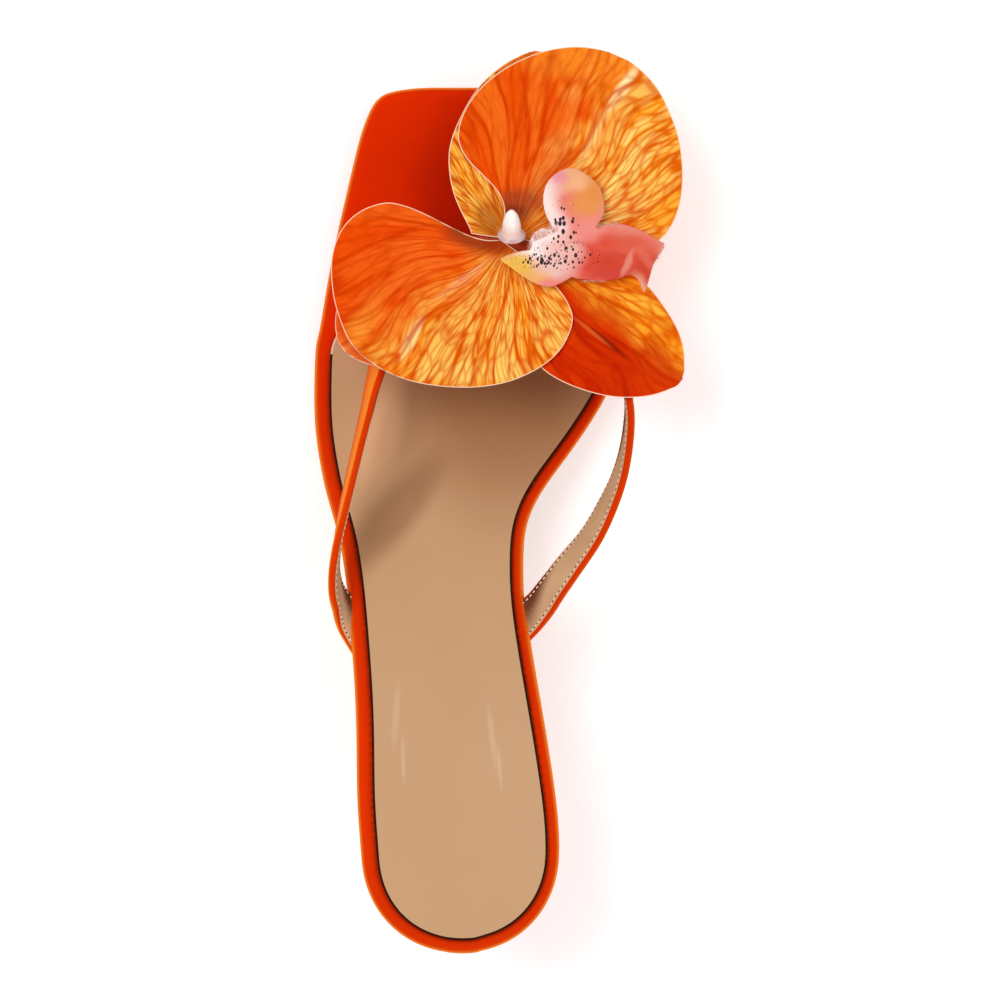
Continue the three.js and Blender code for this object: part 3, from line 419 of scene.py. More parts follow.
def orchid_print(name, turn, colours, gold, washes, shades):
    """Printed and pressed petal cloth: forked veins fan out from its root, with a fine net between them."""
    ground, golden_ground, vein, gold_vein, light, gold_light = (paint(code) for code in colours)
    finish, tree, shader = material(name, Roughness=0.55, Specular_IOR_Level=0.04,
                                    Specular_Tint=paint("#ffa040"))
    where = add(tree, "TexCoord", {}, "Object")
    petal = add(tree, "Mapping", {
        "Vector": where, "Location": place(FLOWER.x, FLOWER.y), "Rotation": (0, 0, math.radians(turn)),
        "Scale": (MM, MM, MM)}, vector_type="TEXTURE")
    flat = add(tree, "VectorMath", {0: petal, 1: (1, 1, 0)}, operation="MULTIPLY")
    across = add(tree, "SeparateXYZ", {0: flat}, 1)
    angle = add(tree, "Math", {0: across, 1: across.node.outputs[0]}, operation="ARCTAN2")
    radius = add(tree, "VectorMath", {0: flat}, 1, operation="LENGTH")
    # The spokes wander a little in swells of 25 mm
    wander = add(tree, "TexNoise", {"Vector": flat, "Scale": 0.04, "Detail": 0}, noise_dimensions="2D")
    bent = add(tree, "Math", {0: wander, 1: 0.3, 2: angle}, operation="MULTIPLY_ADD")
    spokes = add(tree, "CombineXYZ", {0: bent, 1: radius})

    # The gold spreads over the petal in one direction, in uneven patches
    gold_at, gold_turn, gold_over = gold
    side = add(tree, "Mapping", {
        "Vector": where, "Location": place(*gold_at), "Rotation": (0, 0, math.radians(gold_turn)),
        "Scale": (gold_over * MM, 1, 1)}, vector_type="TEXTURE")
    lean = add(tree, "SeparateXYZ", {0: side})
    blotch = add(tree, "TexNoise", {"Vector": flat, "Scale": 0.12, "Detail": 1}, noise_dimensions="2D")
    uneven = add(tree, "Math", {0: blotch, 1: 0.8, 2: lean}, operation="MULTIPLY_ADD")
    golden = add(tree, "MapRange", {"Value": uneven, "From Min": 0.3, "From Max": 1.4},
                 interpolation_type="SMOOTHSTEP")
    base = add(tree, "Mix", {0: golden, 6: ground, 7: golden_ground}, 2, data_type="RGBA")
    line = add(tree, "Mix", {0: golden, 6: vein, 7: gold_vein}, 2, data_type="RGBA")
    lit = add(tree, "Mix", {0: golden, 6: light, 7: gold_light}, 2, data_type="RGBA")
    colour = washed(tree, where, base, washes)
    relief = 0
    for per_radian, per_mm, width, on_orange, on_gold in VEINS:
        grid = add(tree, "VectorMath", {0: spokes, 1: (per_radian, per_mm, 0)}, operation="MULTIPLY")
        edge = add(tree, "TexVoronoi", {"Vector": grid, "Scale": 1, "Randomness": 0.95}, 0,
                   voronoi_dimensions="2D", feature="DISTANCE_TO_EDGE")
        own = add(tree, "TexVoronoi", {"Vector": grid, "Scale": 1, "Randomness": 0.95}, 1,
                  voronoi_dimensions="2D")
        # Painted glints: some cells between the veins are painted lighter, as if they caught the light
        share = add(tree, "MapRange", {"Value": golden, "To Min": on_orange, "To Max": on_gold})
        chance = add(tree, "MapRange", {"Value": own, "From Min": 0.25, "From Max": 0.9, "To Max": share})
        core = add(tree, "MapRange", {"Value": edge, "From Min": width * 0.4, "From Max": width * 1.5})
        shine = add(tree, "Math", {0: chance, 1: core}, operation="MULTIPLY")
        shone = add(tree, "Mix", {0: shine, 6: colour, 7: lit}, 2, data_type="RGBA")
        mark = add(tree, "MapRange", {"Value": edge, "From Max": width, "To Min": 1, "To Max": 0},
                   interpolation_type="SMOOTHSTEP")
        ink = add(tree, "Math", {0: mark, 1: share}, operation="MULTIPLY")
        colour = add(tree, "Mix", {0: ink, 6: shone, 7: line}, 2, data_type="RGBA")
        relief = add(tree, "Math", {0: mark, 1: VEIN_DEPTH / per_radian, 2: relief}, operation="MULTIPLY_ADD")
    shaded = washed(tree, where, colour, shades)
    tree.links.new(shaded, shader.inputs["Base Color"])
    bump = add(tree, "Bump", {"Strength": 0.4, "Distance": 0.18 * MM, "Height": relief}, invert=True)
    tree.links.new(bump, shader.inputs["Normal"])
    return finish


def lip_paint():
    """Hand-tinted lip cloth: pink and salmon washes that run together, with dark specks at its root."""
    finish, tree, shader = material("lip_tinted_cloth", Roughness=0.55, Specular_IOR_Level=0.3,
                                    Sheen_Weight=0.2, Sheen_Roughness=0.5,
                                    Sheen_Tint=paint("#ffb09a"))
    where = add(tree, "TexCoord", {}, "Object")
    # The tints run into each other in tongues of 7 mm, up to 4 mm long
    ruffle = add(tree, "TexNoise", {"Vector": where, "Scale": 0.14 * PER_MM, "Detail": 3}, 1)
    shift = add(tree, "VectorMath", {0: ruffle, 1: (4 * MM, 4 * MM, 0), 2: where}, operation="MULTIPLY_ADD")
    # Middles from the lip's own middle, in millimetres
    washes = [
        ((9, 2), 0, 17, 12, "#de4c34", 1.0), ((15, -1), 0, 14, 6, "#cc2e16", 1.0),
        ((19, 4), 0, 9, 7, "#e0583a", 0.8), ((22, -1), 0, 5, 7, "#cc3418", 0.9),
        ((18.5, -7), 0, 4, 7, "#f8b890", 1.0), ((3, 15), 0, 11, 11, "#ea7f70", 1.0),
        ((6, 19), 0, 7, 9, "#e68f44", 1.0), ((1, 23.5), 0, 8, 5, "#f4b681", 0.9),
        ((-3.5, 24), 0, 5, 4, "#ee93a2", 0.9), ((-6.5, 15), 0, 5, 12, "#fdeae6", 1.0),
        ((-4, 11), 0, 7, 7, "#f9dcd6", 0.9), ((6, 10), 0, 7, 5, "#ee8a7e", 0.8),
        ((-8.5, 5), 0, 10, 6, "#fbeeea", 1.0), ((-1.5, 4), 0, 9, 7, "#f1b6aa", 0.9),
        ((-5, -1), 0, 10, 5, "#efc0b6", 0.9), ((-14, -1), 0, 8, 6, "#f2bd48", 1.0),
        ((-9, -4.5), 0, 8, 5, "#f3b05e", 0.9), ((-3, -6.5), 0, 8, 4, "#ee857c", 1.0),
        ((-5, 19), 0, 5, 7, "#fde0d6", 0.6), ((14, 1), 0, 12, 5, "#d63e1e", 0.5),
        ((13, 3.2), -12, 8, 1.4, "#c8341e", 0.4), ((9, -2.6), 14, 7, 1.1, "#cc3a24", 0.35),
        # Painted highlights: pale strokes along a crease and along the lower edge
        ((16.5, 0.6), 63, 6.5, 1.3, "#f2a594", 0.55), ((13.8, -4.9), 15, 6, 0.8, "#f8d2c0", 0.7),
        ((19.4, -7.5), -62, 5, 2.2, "#f0a048", 0.9), ((21.5, 2), -58, 6, 1.6, "#ee7c62", 0.4),
        ((-5, 9), 0, 4, 4, "#fdeee8", 0.6),
    ]
    placed = [((LIP.x + x, LIP.y + y), *rest) for (x, y), *rest in washes]
    colour = washed(tree, shift, paint("#e98a78"), placed)
    # Specks: middle, half length and half width of each cluster, the specks' spacing in millimetres,
    # the largest speck's share of it, and the smallest's share of the largest
    clusters = [((-2.8, 8.6), 5.5, 9, 1.6, 0.42, 0.6), ((-9, -0.6), 9, 3, 0.8, 0.75, 0),
                ((-2, 0.8), 13, 5.5, 1.25, 0.48, 0)]
    for (x, y), long, wide, apart, largest, least in clusters:
        at = add(tree, "Mapping", {
            "Vector": where, "Location": place(LIP.x + x, LIP.y + y), "Scale": (long * MM, wide * MM, 1)},
            vector_type="TEXTURE")
        area = add(tree, "TexGradient", {0: at}, 1, gradient_type="SPHERICAL")
        tall = add(tree, "Mapping", {"Vector": where, "Scale": (1, 0.7, 0)})
        speck = add(tree, "TexVoronoi", {"Vector": tall, "Scale": 1 / (apart * MM), "Randomness": 1},
                    voronoi_dimensions="2D")
        chance = add(tree, "TexVoronoi", {"Vector": tall, "Scale": 1 / (apart * MM), "Randomness": 1}, 1,
                     voronoi_dimensions="2D")
        size = add(tree, "MapRange", {"Value": area, "From Max": OVAL_FULL, "To Min": 0, "To Max": largest})
        luck = add(tree, "MapRange", {"Value": chance, "To Min": least})
        uneven = add(tree, "Math", {0: size, 1: luck}, operation="MULTIPLY")
        dot = add(tree, "Math", {0: uneven, 1: speck}, operation="SUBTRACT")
        crisp = add(tree, "MapRange", {"Value": dot, "From Max": 0.05})
        colour = add(tree, "Mix", {0: crisp, 6: colour, 7: paint("#2c0a14")}, 2, data_type="RGBA")
    tree.links.new(colour, shader.inputs["Base Color"])
    crinkle = add(tree, "TexNoise", {"Vector": where, "Scale": 0.5 * PER_MM, "Detail": 3})
    bump = add(tree, "Bump", {"Strength": 0.25, "Distance": 0.1 * MM, "Height": crinkle})
    tree.links.new(bump, shader.inputs["Normal"])
    return finish


# The saucer's mauve rim, from the column's foot, and the heights where the cone begins and turns white
SAUCER_RIM = (2.6, 4.1)
CONE_FROM = (1.1, 1.7)
CONE_WHITE = (1.5, 6)


def column_wax():
    """Moulded soft plastic of the flower's centre: milky, half glossy, with a mauve-edged saucer."""
    finish, tree, shader = material("column_milky_plastic", Roughness=0.35, Subsurface_Weight=0.25,
                                    Subsurface_Scale=2 * MM)
    where = add(tree, "TexCoord", {}, "Object")
    lean = math.radians(COLUMN_LEAN)
    from_foot = add(tree, "VectorMath", {0: where, 1: place(*COLUMN_FOOT)}, operation="SUBTRACT")
    height = add(tree, "VectorMath", {0: from_foot, 1: (0, math.sin(lean) / MM, math.cos(lean) / MM)}, 1,
                 operation="DOT_PRODUCT")
    out = add(tree, "VectorMath", {0: from_foot}, 1, operation="LENGTH")
    mottle = add(tree, "TexNoise", {"Vector": where, "Scale": 0.5 * PER_MM, "Detail": 3})
    rim = add(tree, "MapRange", {"Value": out, "From Min": SAUCER_RIM[0] * MM,
                                 "From Max": SAUCER_RIM[1] * MM}, interpolation_type="SMOOTHSTEP")
    saucer = add(tree, "Mix", {0: rim, 6: paint("#dcb9b0"), 7: paint("#a87c86")}, 2, data_type="RGBA")
    mottled = add(tree, "Mix", {0: mottle, 6: saucer, 7: paint("#ead0c8")}, 2, data_type="RGBA")
    body = add(tree, "MapRange", {"Value": height, "From Min": CONE_FROM[0], "From Max": CONE_FROM[1]},
               interpolation_type="SMOOTHSTEP")
    high = add(tree, "MapRange", {"Value": height, "From Min": CONE_WHITE[0], "From Max": CONE_WHITE[1]},
               interpolation_type="SMOOTHSTEP")
    cone = add(tree, "Mix", {0: high, 6: paint("#efcfc2"), 7: paint("#fffaf4")}, 2, data_type="RGBA")
    colour = add(tree, "Mix", {0: body, 6: mottled, 7: cone}, 2, data_type="RGBA")
    tree.links.new(colour, shader.inputs["Base Color"])
    bump = add(tree, "Bump", {"Strength": 0.1, "Distance": 0.1 * MM, "Height": mottle})
    tree.links.new(bump, shader.inputs["Normal"])
    return finish


def thread():
    """Twisted polyester thread, pale and a little glossy, with a turn of its ply every 0.7 mm."""
    finish, tree, shader = material("pale_thread", Roughness=0.5)
    where = add(tree, "TexCoord", {}, "Object")
    ply = add(tree, "TexWave", {"Vector": where, "Scale": DIAGONAL_BANDS / (0.7 * MM)},
              bands_direction="DIAGONAL")
    colour = add(tree, "Mix", {0: ply, 6: paint("#d9bb9a"), 7: paint("#fbead6")}, 2, data_type="RGBA")
    tree.links.new(colour, shader.inputs["Base Color"])
    return finish


# Rim: the wash at the toes is a painted shadow under the flower; the slight seat-to-toes shift is painted
# light
satin_rim = dress_satin("rim_dress_satin", "Object", "#e03404", "#e22c02", 0.82, 0.95,
                        [((6, 206), 0, 26, 34, "#a81402", 0.7)])
satin_heel = dress_satin("heel_dress_satin", "Object", "#e23206", "#e23206", 0.15, 0.9, [])
# Lit and shaded copies of one satin: the lateral strap leans into the light and is painted a lighter base
# with a stronger highlight, the medial one leans away from it and is painted darker, with a weaker one
satin_straps = {
    -1: dress_satin("strap_satin_painted_light", "UV", "#de3a04", "#de3a04", 0.95, 1, []),
    1: dress_satin("strap_satin_painted_shade", "UV", "#d83404", "#d83404", 0.35, 1, []),
}
tan_sock = sock_leather()
tan_lining = strap_leather()
brown_ink = edge_ink()
raw_sock = cut_edge("sock_cut_edge", "#d4a67e", "#ecd0b0")
raw_petal = cut_edge("petal_cut_edge", "#fab88a", "#ffe6cc")
sole_sheet = moulded_sole()
rubber = heel_rubber()
pale_thread = thread()


# The sole, its sock and the heel

# The outline's last straight step at the heel's end: half its width, how far its middle bulges,
# and how far along the shoe the bulge fades
END_HALF = 5.2
END_BULGE = 0.5
END_FADE = 12
# The sock's lateral front corner is cut back: its middle, its reach and its shift
CORNER = (-35.5, 172)
CORNER_REACH = 5
CORNER_SHIFT = Vector((2.2, -0.5, 0)) * MM


def round_end(piece):
    """Rounds the heel's end of a piece into the curve on either side of it."""
    back = min(vertex.co.y for vertex in piece.data.vertices)
    for vertex in piece.data.vertices:
        across = (vertex.co.x - place(0, 0).x) / (END_HALF * MM)
        near = max(0, 1 - (vertex.co.y - back) / (END_FADE * MM))
        vertex.co.y -= END_BULGE * MM * max(0, 1 - across ** 2) * near


# The sock's front edge is cut and left pale from here on
RAW_FROM = 162.8
sock = copy_of("sock_lining", "sock_smooth", flat=15)
for finish in (tan_sock, brown_ink, raw_sock):
    sock.data.materials.append(finish)
for face in sock.data.polygons:
    face.material_index = 1
round_off(sock, 2, sharp=30)
border(sock, CUT_EDGE * MM, lambda centre, normal: normal.z > 0.85, 0, 1)
round_end(sock)
for vertex in sock.data.vertices:
    away = (vertex.co.xy - place(*CORNER).xy).length / (CORNER_REACH * MM)
    vertex.co += CORNER_SHIFT * math.exp(-away ** 2)
for face in sock.data.polygons:
    if face.material_index == 1 and face.center.y > place(0, RAW_FROM).y:
        face.material_index = 2
worn_by(sock, "sock_leather", "sock_lining")

footbed = copy_of("footbed", "footbed_wrapped")
footbed.data.materials.append(satin_rim)
round_off(footbed, 2, sharp=60)
round_end(footbed)
sock_edge = seen_from_above([face.center for face in sock.data.polygons if abs(face.normal.z) < 0.5])


def from_sock(spot):
    """Distance from the sock's edge in millimetres, seen from above."""
    return sock_edge.find((spot.x, spot.y, 0))[2] / MM


# Next to the sock the satin is cut into finer faces, over this reach, to carry a painted shade that falls
# off in half a millimetre
SOCK_REACH = 2
SOCK_SHADE = 0.5
SOCK_CUTS = 4
choose_faces(footbed, lambda centre, normal: normal.z > 0.5 and from_sock(centre) < SOCK_REACH)
bpy.ops.mesh.subdivide(number_cuts=SOCK_CUTS)
bpy.ops.object.mode_set(mode="OBJECT")
painted_sock_shade = footbed.data.attributes.new("painted_sock_shade", "FLOAT", "POINT")
for vertex in footbed.data.vertices:
    painted_sock_shade.data[vertex.index].value = math.exp(-from_sock(vertex.co) / SOCK_SHADE)
shade_smooth(footbed)
worn_by(footbed, "satin", "footbed")

outsole = copy_of("outsole", "outsole_sheet")
outsole.data.materials.append(sole_sheet)
round_off(outsole, 1, sharp=40)
worn_by(outsole, "sole_sheet", "outsole")

heel = copy_of("heel", "heel_covered")
heel.data.materials.append(satin_heel)
round_off(heel, 2, sharp=45)
worn_by(heel, "satin", "heel")

top_piece = copy_of("top_piece", "top_piece_ribbed")
top_piece.data.materials.append(rubber)
round_off(top_piece, 2, sharp=45)
worn_by(top_piece, "top_rubber", "top_piece")


# Straps: a flat blank with rolled edges, lined, stitched and bent along its route

# Steps of a strap's route from one row to the next, and cuts across a strap along its length
ROUTE_STEPS = 6
STRAP_CUTS = 150
# The strap's rolled edge; the lining's thickness, its rolled edge, how much narrower it is and its gap
ROLLED = 0.8
LINING_THICK = 0.3
LINING_ROLLED = 0.1
LINING_NARROWER = 1.5
LINING_GAP = 0.04
# Two seams this far from the strap's middle, from this far from its root, one stitch to every 1.6 mm
SEAM = 3.6
SEAM_FROM = 6
STITCH = 1.6
# Half sizes of a stitch and of a needle hole, and how far each stands above the lining's middle
THREAD_SIZE = Vector((0.52, 0.16, 0.2))
THREAD_RISE = 0.17
HOLE_SIZE = Vector((0.26, 0.06, 0.22))
HOLE_RISE = 0.15


def rise_at(along):
    """Smooth rise of the shoe's underside between the rows of its profile."""
    rows = PROFILE
    slopes = [(b[1] - a[1]) / (b[0] - a[0]) for a, b in zip(rows, rows[1:])]
    i = max(k for k in range(len(slopes)) if rows[k][0] <= along)

    def tangent(k):
        if k in (0, len(slopes)):
            return slopes[0 if k == 0 else -1]
        product = slopes[k - 1] * slopes[k]
        return 0 if product <= 0 else 2 * product / (slopes[k - 1] + slopes[k])

    width = rows[i + 1][0] - rows[i][0]
    t = (along - rows[i][0]) / width
    eased = t * t * (3 - 2 * t)
    level = rows[i][1] * (1 - eased) + rows[i + 1][1] * eased
    return level + width * (tangent(i) * t * (1 - t) ** 2 - tangent(i + 1) * t * t * (1 - t))


def strap_route(name, rows, side):
    """The strap's centre line, a smooth curve through its rows that carries their lean."""
    points = []
    for along, across, above, tilt in rows:
        laid = HEEL_RISE * rise_at(along) + UNDER_FOOTBED + STRAP_THICK / 2
        points.append(Vector((*place(across * BALL_WIDTH, along * LENGTH, laid + above * STRAP_RISE), tilt)))
    fine = []
    for i in range(len(points) - 1):
        b, c = points[i], points[i + 1]
        a = points[i - 1] if i else 2 * b - c
        d = points[i + 2] if i + 2 < len(points) else 2 * c - b
        ab, bc, cd = (math.sqrt((q - p).xyz.length) for p, q in ((a, b), (b, c), (c, d)))
        leave = ((b - a) / ab - (c - a) / (ab + bc) + (c - b) / bc) * bc
        meet = ((c - b) / bc - (d - b) / (bc + cd) + (d - c) / cd) * bc
        for k in range(ROUTE_STEPS):
            t = k / ROUTE_STEPS
            fine.append(b * (2 * t ** 3 - 3 * t * t + 1) + leave * (t ** 3 - 2 * t * t + t)
                        + c * (3 * t * t - 2 * t ** 3) + meet * (t ** 3 - t * t))
    fine.append(points[-1])
    data = bpy.data.curves.new(name, "CURVE")
    data.dimensions = "3D"
    data.twist_mode = "Z_UP"
    spline = data.splines.new("POLY")
    spline.points.add(len(fine) - 1)
    for point, spot in zip(spline.points, fine):
        point.co = (*spot.xyz, 1)
        point.tilt = side * math.radians(spot.w)
    length = sum((q - p).xyz.length for p, q in zip(fine, fine[1:]))
    return in_scene(name, data), length


def choose_long_edges(piece, least):
    """Selects the edges that run along a strip, and stays in edit mode."""
    bpy.ops.object.mode_set(mode="EDIT")
    bpy.ops.mesh.select_mode(type="EDGE")
    bpy.ops.mesh.select_all(action="DESELECT")
    bpy.ops.object.mode_set(mode="OBJECT")
    for edge in piece.data.edges:
        a, b = (piece.data.vertices[i].co for i in edge.vertices)
        edge.select = abs(a.x - b.x) > least
    bpy.ops.object.mode_set(mode="EDIT")


def strip(name, length, wide, thick, rolled, off, finish):
    """A flat strip along +X with rolled long edges, marked out with its own cloth coordinates."""
    bpy.ops.mesh.primitive_cube_add(size=1, location=(length / 2, off, 0))
    piece = bpy.context.active_object
    piece.name = name
    piece.scale = (length, thick, wide)
    select_only(piece)
    bpy.ops.object.transform_apply(location=True, rotation=False, scale=True)
    choose_long_edges(piece, length / 2)
    bpy.ops.mesh.bevel(offset=rolled, segments=4, affect="EDGES")
    choose_long_edges(piece, length / 2)
    bpy.ops.mesh.subdivide(number_cuts=STRAP_CUTS)
    bpy.ops.object.mode_set(mode="OBJECT")
    cloth = piece.data.uv_layers.active
    for loop in piece.data.loops:
        spot = piece.data.vertices[loop.vertex_index].co
        cloth.data[loop.index].uv = (spot.x, spot.z + spot.y)
    piece.data.materials.append(finish)
    return piece


def stitch_row(name, length, first, size, across, off, finish):
    """A row of stitches or needle holes along +X, one modelled and the rest copied from it."""
    bpy.ops.mesh.primitive_uv_sphere_add(segments=8, ring_count=6, radius=1, location=(0, 0, 0))
    piece = bpy.context.active_object
    piece.name = name
    piece.scale = size
    piece.location = (first, off, across)
    select_only(piece)
    bpy.ops.object.transform_apply(location=True, rotation=False, scale=True)
    piece.data.materials.append(finish)
    modify(piece, "ARRAY", count=int((length - 2 * first) / (STITCH * MM)), use_relative_offset=False,
           use_constant_offset=True, constant_offset_displace=(STITCH * MM, 0, 0))
    return piece


def make_strap(name, rows, side):
    """One strap: satin over its core, tan lining inside, and two rows of stitches."""
    route, length = strap_route(name + "_route", rows, side)
    inner = side * (STRAP_THICK / 2 + LINING_GAP) * MM
    satin = strip(name, length, STRAP_WIDTH * MM, STRAP_THICK * MM, ROLLED * MM, 0, satin_straps[side])
    lining = strip(name + "_lining", length, (STRAP_WIDTH - LINING_NARROWER) * MM, LINING_THICK * MM,
                   LINING_ROLLED * MM, inner, tan_lining)
    seams = []
    for edge, across in (("low", -SEAM * MM), ("high", SEAM * MM)):
        seams.append(stitch_row(name + "_stitches_" + edge, length, SEAM_FROM * MM, THREAD_SIZE * MM,
                                across, inner + side * THREAD_RISE * MM, pale_thread))
        seams.append(stitch_row(name + "_holes_" + edge, length, (SEAM_FROM + STITCH / 2) * MM,
                                HOLE_SIZE * MM, across, inner + side * HOLE_RISE * MM, brown_ink))
    for piece in (satin, lining, *seams):
        modify(piece, "CURVE", object=route, deform_axis="POS_X")
        shade_smooth(piece)
    worn_by(satin, "satin", "upper")
    worn_by(lining, "sock_leather")
    for seam in seams:
        worn_by(seam, "sock_leather")
    bpy.data.objects.remove(route)


make_strap("strap_lateral", LATERAL_STRAP, -1)
make_strap("strap_medial", MEDIAL_STRAP, 1)

toe_post = copy_of("toe_post", "toe_post_wrapped")
toe_post.data.materials.append(satin_heel)
shade_smooth(toe_post)
worn_by(toe_post, "satin", "toe_post")


# The orchid

# For each piece of cloth: its slot; the turn of its print in degrees; the ground, vein and painted glint
# colours, each on the orange and on the gold; where the gold starts, its direction, and over how many
# millimetres it comes; washes under the veins, painted shades over them, and folds as press takes them
PETALS = {
    "petal_front": {
        "slot": "petal_orange", "turn": 65.5,
        "colours": ("#ea4e04", "#ffa422", "#c83000", "#de5804", "#fb8024", "#ffe680"),
        "gold": ((21, 221), -28, 24),
        "washes": [
            # The top's lighter print, then a painted highlight along the veins near the root
            ((31.5, 243), -8, 28, 10, "#fc8a22", 1.0), ((24, 212), 62, 16, 5, "#f27a34", 0.45),
            ((41, 201), 0, 13, 7, "#e4581a", 0.6),
            # Painted highlights along the fold ridges
            ((43.3, 233.8), 56, 10, 2.2, "#fff0b0", 1.0), ((35, 220.4), 62, 11, 1.6, "#ffdc8c", 0.7),
        ],
        # Painted shade at the petal's root, under the column and lip
        "shades": [((15.5, 203.5), 0, 9, 5.5, "#a03c22", 0.75), ((14, 200), 0, 6, 4, "#5c2418", 0.6)],
        "folds": [
            ((15, 200), (47, 240), -1.0, 3), ((15, 200), (38, 244), 0.9, 4), ((14, 202), (23, 244), -0.8, 4),
            ((13, 203), (8, 238), 0.8, 5), ((20, 198), (55, 213), -0.9, 4), ((20, 196), (54, 201), 0.7, 3),
        ],
    },
    "petal_lateral": {
        "slot": "petal_orange", "turn": 235.4,
        "colours": ("#ee4c04", "#ff981a", "#ca3200", "#da4a02", "#fc862c", "#ffd468"),
        "gold": ((-11, 184), -50, 19),
        "washes": [
            # Painted highlight along the ridge from the root
            ((0.5, 182.5), 37, 12, 1.8, "#fbb27c", 0.8),
            # Painted highlights on the lower part
            ((-14, 166), 62, 9, 2.2, "#fff0a8", 0.9), ((4, 157), 0, 24, 4, "#ffd468", 0.6),
            ((-22, 192), -10, 12, 7, "#e84204", 0.6), ((1, 178), 60, 9, 7, "#ea5c10", 0.4),
            ((-28, 169), 55, 13, 5, "#ff9e30", 0.6),
        ],
        # Painted shade at the petal's root
        "shades": [((3, 194), -20, 13, 5.5, "#9a3c18", 0.9), ((9, 192), -15, 7, 4, "#a82c0a", 0.6)],
        "folds": [
            ((11, 191), (-15, 164), -1.3, 3), ((9, 192), (-24, 172), 0.8, 3.5),
            ((12, 189), (-4, 156), 0.8, 3.5), ((13, 188), (9, 155), -0.7, 3),
            ((8, 193), (-26, 190), -0.8, 4), ((9, 192), (-28, 181), 0.5, 3),
        ],
    },
    "sepal_front": {
        "slot": "petal_orange", "turn": 81.9,
        "colours": ("#f4801a", "#ffa226", "#c03002", "#c84408", "#fba030", "#ffd060"),
        "gold": ((16, 205), 180, 8), "washes": [],
        # Painted shade near its root
        "shades": [((7, 199), 0, 6, 8, "#a8480e", 0.6)], "folds": [],
    },
    "sepal_lateral": {
        "slot": "petal_shade", "turn": 213.2,
        "colours": ("#f25c12", "#ff8630", "#d03a06", "#e66014", "#ff8434", "#ffbc78"),
        "gold": ((-25, 165), 220, 12), "washes": [], "shades": [], "folds": [],
    },
    "sepal_medial": {
        "slot": "petal_shade", "turn": 319,
        "colours": ("#d02602", "#fa8c10", "#b01e00", "#de5404", "#e44a04", "#ffbc3c"),
        "gold": ((37.5, 170), 50, 9),
        "washes": [
            ((55, 153), -40, 18, 10, "#d83a06", 0.9), ((30, 170), -40, 10, 5, "#c62802", 0.8),
        ],
        # Painted shade in the crease, and a painted highlight along its side
        "shades": [((39.5, 165), -39, 10, 1.1, "#8a1c04", 0.9), ((35, 168), -39, 9, 0.8, "#ee6a30", 0.6)],
        "folds": [((29, 174), (46, 160), 1.3, 1.2), ((24, 184), (54, 156), -1.0, 5)],
    },
}

for name, petal in PETALS.items():
    piece = copy_of(name, name + "_cloth")
    piece.data.materials.append(orchid_print(
        name + "_print", petal["turn"], petal["colours"], petal["gold"], petal["washes"], petal["shades"]))
    piece.data.materials.append(raw_petal)
    round_off(piece, 2, sharp=60)
    for face in piece.data.polygons:
        face.material_index = 0 if face.normal.z < -0.5 else 1
    border(piece, CUT_EDGE * MM, lambda centre, normal: normal.z > 0.6, 0, 1)
    press(piece, petal["folds"])
    worn_by(piece, petal["slot"], name)

backing = copy_of("flower_base", "flower_backing")
backing.data.materials.append(cut_edge("backing_felt", "#b83404", "#e0561a"))
shade_smooth(backing)
worn_by(backing, "petal_shade", "flower_base")

# The lip's solid is remade in faces of this size, then smoothed and pressed
LIP_FACE = 0.28
lip = copy_of("lip", "lip_cloth")
lip.data.materials.append(lip_paint())
modify(lip, "REMESH", mode="VOXEL", voxel_size=LIP_FACE * MM, use_smooth_shade=True)
modify(lip, "SMOOTH", factor=0.5, iterations=6)
press(lip, [
    ((LIP.x + 1, LIP.y + 12), (LIP.x + 1, LIP.y + 20), 1.6, 5),
    ((LIP.x + 1, LIP.y + 2), (LIP.x + 14, LIP.y + 2), 1.0, 3),
    ((LIP.x + 4, LIP.y + 7), (LIP.x + 18, LIP.y + 6), -0.8, 2),
    ((LIP.x - 6, LIP.y - 2), (LIP.x - 14, LIP.y - 1), 0.8, 3),
])
worn_by(lip, "lip_pink", "lip")

column = copy_of("column", "column_waxy")
column.data.materials.append(column_wax())
round_off(column, 2, sharp=80, smooth=60)
worn_by(column, "column_cream", "column")

# Fringe: hair ends along the lip's edges. From, to, direction in degrees, how many, length,
# in millimetres from the lip's middle
FRINGES = [
    ((-11, 4.6), (-4.2, 7.6), 122, 64, 2.8), ((-11.6, 2.6), (-11.3, 5), 170, 26, 1.5),
    ((6.2, 8.4), (12, 9.3), 85, 60, 1.0), ((24.2, 3.6), (21.6, -1.6), -15, 36, 1.0),
    ((2, -6), (8.6, -6), -90, 30, 0.7), ((-17, 1), (-16.5, -2), 185, 12, 0.6),
]
# A hair's radius at its root and its tip, and how deep its root sits
HAIR_ROOT = 0.05
HAIR_TIP = 0.02
HAIR_DEPTH = 0.05
# How far it strays from its direction in degrees, its rise, its share of the length, and the share
# of hairs with the darker finish, painted shade between the hairs
HAIR_STRAY = 32
HAIR_RISE = (0.05, 0.5)
HAIR_LENGTH = (0.6, 1.1)
HAIR_PAINTED_SHADE = 0.35
